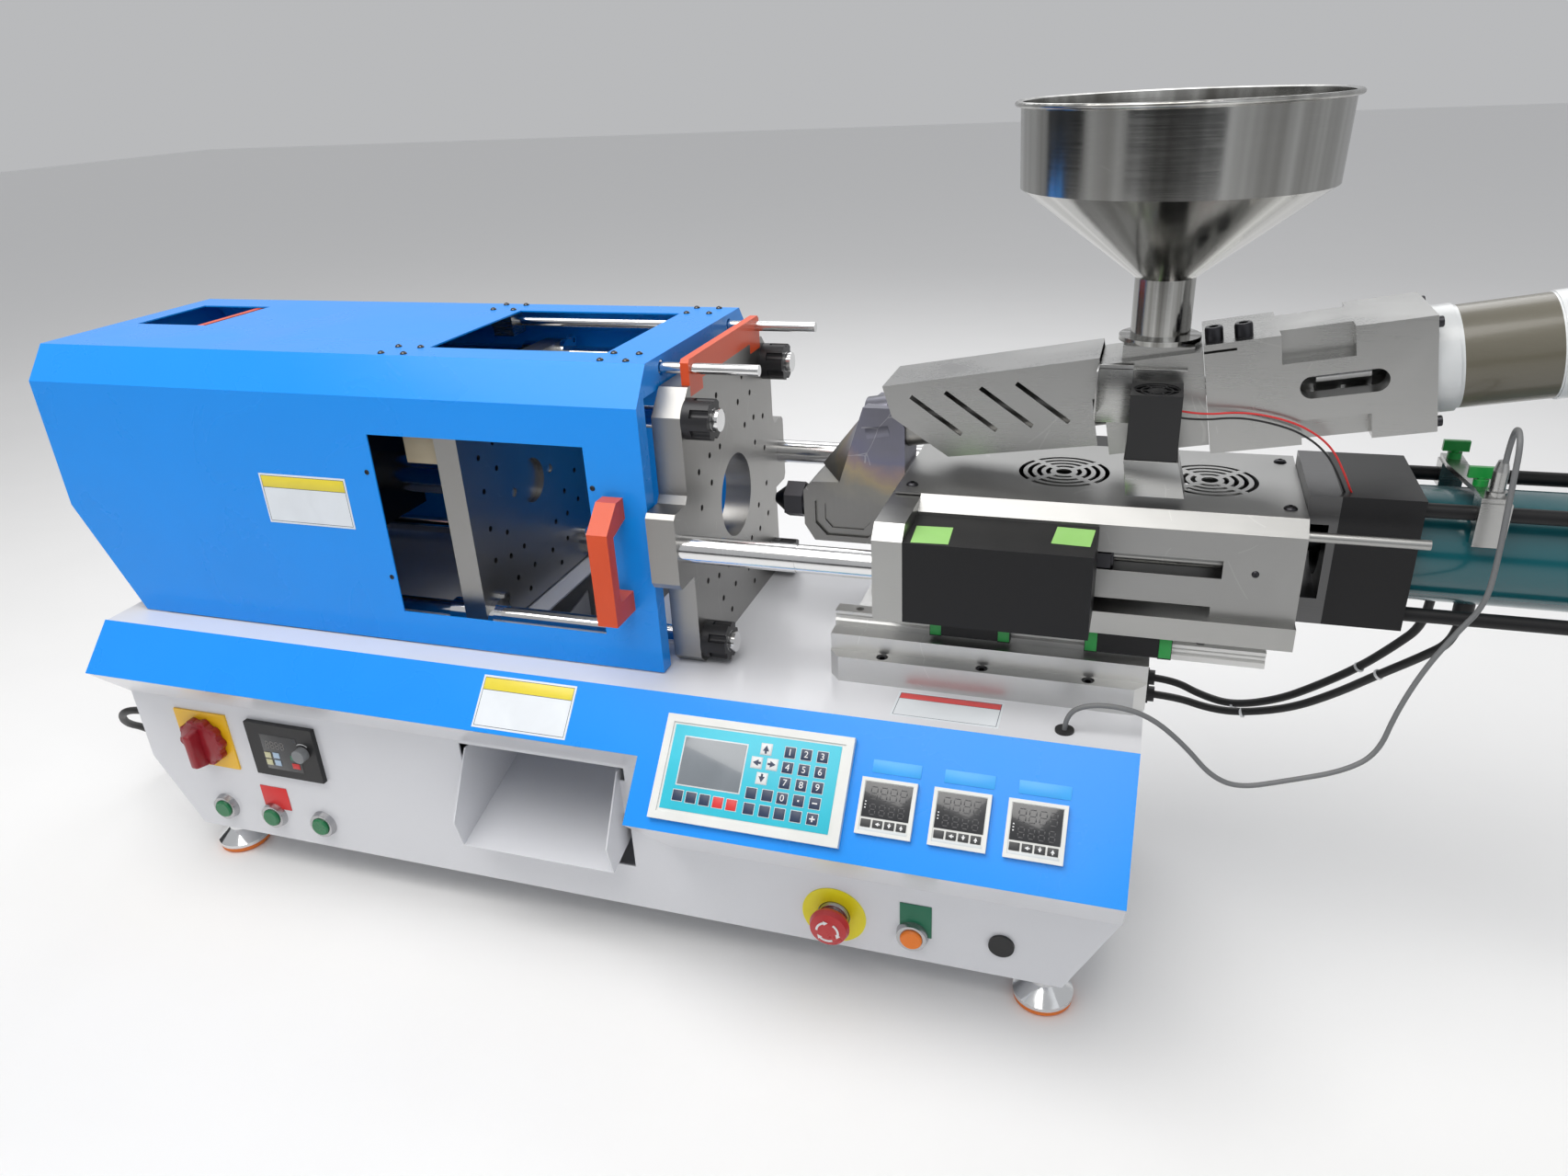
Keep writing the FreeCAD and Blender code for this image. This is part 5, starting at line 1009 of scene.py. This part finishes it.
def makeWasher(outer, inner, high, sides=64):
    # a flat ring from z 0 to the given height: the inner edge grown round its section and closed on itself
    clearPick()
    bpy.ops.mesh.primitive_circle_add(vertices=sides, radius=inner / 1000, fill_type="NOTHING")
    piece = bpy.context.object
    openEdit(piece)
    bpy.ops.mesh.select_all(action="SELECT")
    for grow, rise in ((outer / inner, 0.0), (1.0, high / 1000), (inner / outer, 0.0), (1.0, -high / 1000)):
        bpy.ops.mesh.extrude_region_move(TRANSFORM_OT_translate={"value": (0, 0, rise)})
        bpy.ops.transform.resize(value=(grow, grow, 1.0), center_override=(0, 0, 0))
    bpy.ops.mesh.select_all(action="SELECT")
    bpy.ops.mesh.remove_doubles(threshold=1e-6)
    bpy.ops.mesh.normals_make_consistent(inside=False)
    bpy.ops.object.mode_set(mode="OBJECT")
    return piece


stopValues = {"disc": (32.0, 16.4, 0.9), "arrows": 3, "ring": 10.6, "start": 14.0, "span": 72.0, "blocks": 9,
              "wide": 2.1, "low": -0.35, "high": 0.3, "head": 5.4, "headBack": 3.0, "sink": 0.55}
finishPiece(makeWasher(*stopValues["disc"]), "estop_disc", "discYellow", "machine_base",
            stopPlace)
capFace = (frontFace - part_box("estop_cap")[0][1]) * 1000.0


def arcBoxes(radius, start, span, steps, wide, low, high):
    # short straight blocks laid round an arc, as a curved band; the angles are in degrees
    parts = []
    start, span = math.radians(start), math.radians(span)
    for step in range(steps):
        turn = start + span * (step + 0.5) / steps
        long = radius * span / steps * 1.08
        part = makeBlock((-long / 2, -wide / 2, low), (long / 2, wide / 2, high), 0.05, 1)
        part.matrix_world = Matrix.Rotation(turn, 4, "Z") @ Matrix.Translation((0, radius / 1000, 0))
        parts.append(part)
    return parts


def makeTurnArrows(values):
    # curved arrows round the cap, each a band with an arrow head at its start
    marks = []
    for step in range(values["arrows"]):
        begin = 360.0 / values["arrows"] * step + values["start"]
        marks += arcBoxes(values["ring"], begin, values["span"], values["blocks"], values["wide"],
                          values["low"], values["high"])
        head = makeArrow(0, 0, 0, 0.0, values["head"])
        head.matrix_world = (Matrix.Rotation(math.radians(begin - values["headBack"]), 4, "Z")
                             @ Matrix.Translation((0, values["ring"] / 1000, 0))
                             @ Matrix.Rotation(-math.pi / 2, 4, "Z"))
        marks.append(head)
    return joinPieces(marks)


finishPiece(makeTurnArrows(stopValues), "estop_arrows", "printWhite", "stop_cap",
            stopPlace @ Matrix.Translation((0, 0, (capFace - stopValues["sink"]) / 1000)))
plateValues = {"start_plate": ("plateGreen", (-200.3, -1.0, 76.0), (-169.6, 0.0, 113.6)),
               "drive_plate": ("plateRed", (-946.0, -1.0, 88.0), (-909.5, 0.0, 118.0))}
for name, (finish, *corners) in plateValues.items():
    slabRow(name, [corners], finish, machineFrame, bevel=0.4)

keypadValues = {
    "place": (-892.0, -6.0, 173.7), "window": ((-27.0, -24.0, 0.0), (22.0, 21.0, 0.25)), "keyLow": 0.2,
    "keyHigh": 0.9,
    "digits": {"left": -22.0, "low": 3.5, "step": 6.6, "count": 4, "size": (5.0, 8.6), "bar": 0.8},
    "arc": {"radius": 11.0, "start": -40.0, "span": 80.0, "blocks": 8, "wide": 1.0, "high": 0.25,
            "place": (0.028, 0.004, 0.0)},
    "keys": {"keypad_yellow_keys": ("keyCream", "panel_plastic", (-26.4, -9.8, -18.0, -2.4),
                                    (-26.4, -19.0, -18.0, -11.6)),
             "keypad_blue_keys": ("keySky", "panel_plastic", (-14.8, -9.0, -6.4, -1.6),
                                  (-14.8, -18.6, -6.4, -11.2)),
             "keypad_run_key": ("plateGreen", "green_plastic", (8.6, -8.4, 18.6, -2.2)),
             "keypad_stop_key": ("keyRed", "red_plastic", (8.6, -19.2, 18.6, -12.4))},
}


def makeKeypad(values):
    place = Matrix.Translation(at(*values["place"])) @ uprightTurn
    slabRow("keypad_window", [values["window"]], "windowDark", place, bevel=0.1)
    digits, bars = values["digits"], []
    for index in range(digits["count"]):
        bars += segmentBoxes(digits["left"] + digits["step"] * index, digits["low"], *digits["size"], 0.2,
                             0.36,
                             digits["bar"])
    slabRow("keypad_digits", bars, "segmentPale", place, bevel=0.03)
    for name, (finish, slot, *keys) in values["keys"].items():
        boxes = [((x0, y0, values["keyLow"]), (x1, y1, values["keyHigh"])) for x0, y0, x1, y1 in keys]
        slabRow(name, boxes, finish, place)
    arc = values["arc"]
    band = joinPieces(arcBoxes(arc["radius"], arc["start"], arc["span"], arc["blocks"], arc["wide"], 0.0,
                               arc["high"]))
    finishPiece(band, "keypad_arc", "printWhite", "machine_base",
                place @ Matrix.Translation(arc["place"]))


makeKeypad(keypadValues)
print("front controls made")

rimValues = {"radius": 124.4, "thick": 2.1}
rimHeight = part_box("hopper")[1][2] * 1000 - rimValues["thick"]
finishPiece(makeRing(rimValues["radius"], rimValues["thick"], 96, 12), "hopper_rim", "spunSteel", "carriage",
            Matrix.Translation(at(driveX, axisY, rimHeight)))
tapeValues = {"places": ((-181.0, 41.0, 0.06), (-68.0, 60.0, -0.05)), "size": (31.0, 36.0), "thick": 0.22,
              "height": tableTop + 161.3}
tapes = []
for x, y, turn in tapeValues["places"]:
    wide, deep = tapeValues["size"]
    tape = makeBlock((-wide / 2, -deep / 2, 0.0), (wide / 2, deep / 2, tapeValues["thick"]), 0.08, 1)
    tape.matrix_world = Matrix.Translation(at(x, y, tapeValues["height"])) @ Matrix.Rotation(turn, 4, "Z")
    tapes.append(tape)
finishPiece(joinPieces(tapes), "green_tapes", "tapeGreen", "carriage")
endValues = {"starts": (-190.0, -54.0), "shifts": (0.5, 61.5), "long": 10.0, "front": 79.6, "back": 80.6,
             "low": tableTop + 47.3, "high": tableTop + 65.8}
slabRow("carriage_ends", [((start + shift, endValues["front"], endValues["low"]),
                           (start + shift + endValues["long"], endValues["back"], endValues["high"]))
                          for start in endValues["starts"] for shift in endValues["shifts"]],
        "thumbGreen", machineFrame, "carriage", 0.3)
ductValues = {"place": (-14.0, axisY - 56.6, tableTop + 216.0), "width": 0.0425,
              "drop": (0.006, -0.002, -0.030),
              "flare": 1.08, "wall": 0.0012, "bevel": 0.0005}


def makeDuct(values):
    # an open sheet box under the fan, flared at its mouth: a tube of four walls, thickened
    clearPick()
    bpy.ops.mesh.primitive_plane_add(size=1.0, location=(0, 0, 0))
    piece = bpy.context.object
    piece.scale = (values["width"], values["width"], 1.0)
    bpy.ops.object.transform_apply(location=True, rotation=True, scale=True)
    openEdit(piece)
    bpy.ops.mesh.select_all(action="SELECT")
    bpy.ops.mesh.delete(type="ONLY_FACE")
    bpy.ops.mesh.select_all(action="SELECT")
    bpy.ops.mesh.extrude_region_move(TRANSFORM_OT_translate={"value": values["drop"]})
    bpy.ops.transform.resize(value=(values["flare"], 1.0, 1.0))
    bpy.ops.object.mode_set(mode="OBJECT")
    wall = piece.modifiers.new("wall", "SOLIDIFY")
    wall.thickness = values["wall"]
    wall.offset = 1.0
    bpy.ops.object.modifier_apply(modifier="wall")
    openEdit(piece)
    bpy.ops.mesh.select_all(action="SELECT")
    bpy.ops.mesh.bevel(offset=values["bevel"], segments=2, affect="EDGES")
    bpy.ops.mesh.select_all(action="SELECT")
    bpy.ops.mesh.normals_make_consistent(inside=False)
    bpy.ops.object.mode_set(mode="OBJECT")
    return piece


finishPiece(makeDuct(ductValues), "fan_duct", "milledAluminium", "carriage",
            Matrix.Translation(at(*ductValues["place"])))
fanValues = {"place": (-14.0, axisY - 56.6, tableTop + 268.6), "rings": (17.6, 12.4, 7.2), "wire": 0.75,
             "spokes": 6,
             "spoke": ((3.0, -0.7, -0.5), (17.6, 0.7, 0.5)), "hub": [(6.4, -0.8), (6.4, 0.5), (5.6, 1.0)]}


def makeFanGuard(values):
    # rings joined by short spokes over the fan's open end
    parts = [makeRing(radius, values["wire"], 40, 8) for radius in values["rings"]]
    for step in range(values["spokes"]):
        spoke = makeBlock(*values["spoke"], 0.15, 1)
        spoke.matrix_world = Matrix.Rotation(2 * math.pi * step / values["spokes"], 4, "Z")
        parts.append(spoke)
    parts.append(makeTurned(values["hub"], 32))
    return joinPieces(parts)


finishPiece(makeFanGuard(fanValues), "fan_guard", "matBlack", "carriage",
            Matrix.Translation(at(*fanValues["place"])))
bracketValues = {"bevel": 0.4, "sheets": [((-62.0, 135.6, 548.0), (-33.8, 137.0, 597.0)),
                                          ((-62.0, 112.0, 556.0), (-60.6, 137.0, 597.0)),
                                          ((-62.0, 135.6, 593.0), (8.0, 139.6, 594.4))]}
slabRow("fan_bracket", bracketValues["sheets"], "milledAluminium", machineFrame,
        "carriage",
        bracketValues["bevel"])
stopBlockValues = {"bevel": 1.2, "block": ((-705.0, 62.0, 498.0), (-665.0, 92.0, 528.0))}
slabRow("clamp_stop_block", [stopBlockValues["block"]], "blockBuff", machineFrame,
        "clamp",
        stopBlockValues["bevel"])
print("hopper rim, tapes and duct made")
dialValues = {"place": (-1003.0, 171.7), "lobes": 10, "lobeRing": 23.2, "lobeRadius": 6.6,
              "profile": [(5.0, -8.0), (5.0, 2.4), (26.0, 2.4), (27.2, 4.0), (26.4, 11.5), (20.0, 13.6),
                          (16.0, 14.6)],
              "grip": ((-6.0, -28.0, 11.0), (6.0, 22.0, 29.0)), "gripBevel": 3.0, "taper": (0.3, 0.16)}


def taperUp(piece, low, high, taper):
    # narrows a piece evenly from its foot to its top, one level of its vertices at a time
    levels = sorted({round(vertex.co.z, 6) for vertex in piece.data.vertices})
    for level in levels:
        openEdit(piece)
        bpy.ops.mesh.select_all(action="DESELECT")
        bpy.ops.object.mode_set(mode="OBJECT")
        for vertex in piece.data.vertices:
            vertex.select = round(vertex.co.z, 6) == level
        openEdit(piece)
        share = (level * 1000.0 - low) / (high - low)
        bpy.ops.transform.resize(value=(1.0 - taper[0] * share, 1.0 - taper[1] * share, 1.0),
                                 center_override=(0, 0, 0))
        bpy.ops.object.mode_set(mode="OBJECT")


def makeDial(values):
    # a lobed rotary handle with a tapered bar across it
    radius, ring = values["lobeRadius"], values["lobeRing"] / 1000.0
    lobe = makeTurned([(radius - 0.6, 2.4), (radius, 3.4), (radius - 0.3, 10.6), (radius - 2.0, 12.2)], 20)
    angles = [2 * math.pi * step / values["lobes"] for step in range(values["lobes"])]
    lobes = [copyPiece(lobe, Matrix.Translation((ring * math.cos(angle), ring * math.sin(angle), 0.0)))
             for angle in angles]
    dropPiece(lobe)
    low, high = values["grip"]
    grip = makeBlock(low, high, values["gripBevel"], 3)
    taperUp(grip, low[2], high[2], values["taper"])
    return joinPieces([makeTurned(values["profile"], 48)] + lobes + [grip])


dialPlace = Matrix.Translation(at(dialValues["place"][0], 0, dialValues["place"][1])) @ uprightTurn
switchDial = finishPiece(makeDial(dialValues), "switch_dial", "dialRed", "main_switch",
                         dialPlace)
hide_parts("main_switch_knob")

reliefProfile = [(7.2, 0.0), (7.2, 4.0), (6.4, 5.0), (6.4, 8.0), (7.0, 9.0), (7.0, 11.0), (6.2, 12.0),
                 (6.2, 15.0),
                 (6.7, 16.0), (6.7, 18.0), (5.9, 19.0), (5.9, 22.0), (6.3, 23.0), (6.3, 25.0), (5.5, 26.0),
                 (5.1, 33.0),
                 (4.6, 33.4)]
finishTurned(reliefProfile, "lead_strain_relief", "blackRubber", "machine_base",
             Matrix.Translation(at(-1110.4, 40.0, 165.7)) @ axisTurns["-X"], 32)


tieValues = {"shares": (3.0, 6.0), "radius": 4.45, "thick": 0.75, "wide": 1.9}


def tieAt(points, share, values):
    # a ring about a cord, part of the way along one run of its route
    index = int(share)
    first, second = (at(*points[index]), at(*points[index + 1]))
    place = first.lerp(second, share - index)
    turn = (second - first).to_track_quat("Z", "Y").to_matrix().to_4x4()
    ring = makeRing(values["radius"], values["thick"], 32, 8)
    ring.matrix_world = Matrix.Translation(place) @ turn @ Matrix.Diagonal((1, 1, values["wide"], 1))
    return ring


ties = [tieAt(routes[name], share, tieValues) for share in tieValues["shares"]
        for name in ("frontHose", "backHose")]
finishPiece(joinPieces(ties), "hose_ties", "printWhite", "machine_base")
coilTieValues = {"radius": 10.6, "thick": 1.1, "out": 52.3, "height": 9.9, "stretch": (1.0, 0.84, 2.4, 1)}
coilTie = makeRing(coilTieValues["radius"], coilTieValues["thick"], 40, 8)
coilTiePlace = at(coilValues["centre"][0] + coilTieValues["out"], coilValues["centre"][1],
                  coilTieValues["height"])
coilTie.matrix_world = (Matrix.Translation(coilTiePlace) @ Matrix.Rotation(math.pi / 2, 4, "X")
                        @ Matrix.Diagonal(coilTieValues["stretch"]))
finishPiece(coilTie, "coil_tie", "blackRubber", "machine_base")
print("ties and strain relief made")

wireValues = {"radius": 0.85, "runs": {
    "redWire": ("keyRed", [(5, 113, 567), (22, 118, 563), (50, 124, 565), (75, 125.5, 562), (99, 125, 555),
                           (121, 125, 540), (135, 127, 515), (143, 132, 497), (152, 140, 490.6),
                           (168, 150, 490.4), (176, 141, 490.6)]),
    "blackWire": ("matBlack", [(5, 111, 562), (21, 116, 559), (48, 123, 561), (73, 125.5, 557),
                               (97, 125, 550),
                               (118, 125, 535), (132, 127, 511), (139, 133, 495), (150, 144, 490.5),
                               (170, 156, 490.4)]),
    "brownWire": ("wireBrown", [(150, 160, 490.5), (165, 139, 496), (181, 130, 494), (190, 138, 491.2),
                                (186, 154, 490.4),
                                (168, 165, 491.5), (154, 156, 494.5), (148, 142, 493), (156, 131, 491.4),
                                (172, 134, 492.6)]),
    "tanWire": ("bronze", [(153, 150, 490.5), (163, 131, 494), (177, 124, 496.5), (188, 131, 493),
                           (183, 147, 491.8),
                           (166, 158, 493), (157, 147, 495.8), (152, 134, 494), (146, 127, 493)])}}


def makeWires(values):
    for name, (finish, points) in values["runs"].items():
        wire = makeCord(name, points, values["radius"], finish, 3)
        clearPick()
        wire.select_set(True)
        bpy.context.view_layer.objects.active = wire
        bpy.ops.object.convert(target="MESH")
        finishPiece(bpy.context.object, name, finish, "carriage")


makeWires(wireValues)
slabRow("wire_plugs", [((140.0, 122.0, 490.0), (149.0, 129.0, 495.0)),
                       ((172.0, 126.0, 490.0), (180.0, 131.0, 494.0))],
        "keyWhite", machineFrame, "carriage", 0.6)
print("wires made")

floorSize = 30.0
clearPick()
bpy.ops.mesh.primitive_plane_add(size=floorSize, location=(0, 0, 0))
floor = bpy.context.object
floor.name = "floor"
finishes["floor"] = paint("floor", (0.86, 0.86, 0.86), rough=0.6, peel=0.0, dust=0.0, coat=0.0, patch=0.01)
floor.data.materials.append(finishes["floor"])
cardValues = {"frontCard": {"place": (-300.0, -3600.0, 350.0), "size": (5.0, 0.9), "turn": 0.0},
              "leftCard": {"place": (-4200.0, -300.0, 500.0), "size": (3.0, 1.2), "turn": 1.25}}
finishes["cardGrey"] = paint("cardGrey", (0.05, 0.052, 0.055), rough=0.8, peel=0.0, dust=0.0, coat=0.0)
for name, values in cardValues.items():
    # dark cards that bright metal mirrors, unseen by the camera itself
    clearPick()
    bpy.ops.mesh.primitive_plane_add(size=1.0, location=(0, 0, 0))
    card = bpy.context.object
    card.name = name
    card.matrix_world = (Matrix.Translation(at(*values["place"])) @ Matrix.Rotation(values["turn"], 4, "Z")
                         @ Matrix.Rotation(math.pi / 2, 4, "X") @ Matrix.Diagonal((*values["size"], 1, 1)))
    card.data.materials.append(finishes["cardGrey"])
    card.visible_camera = False
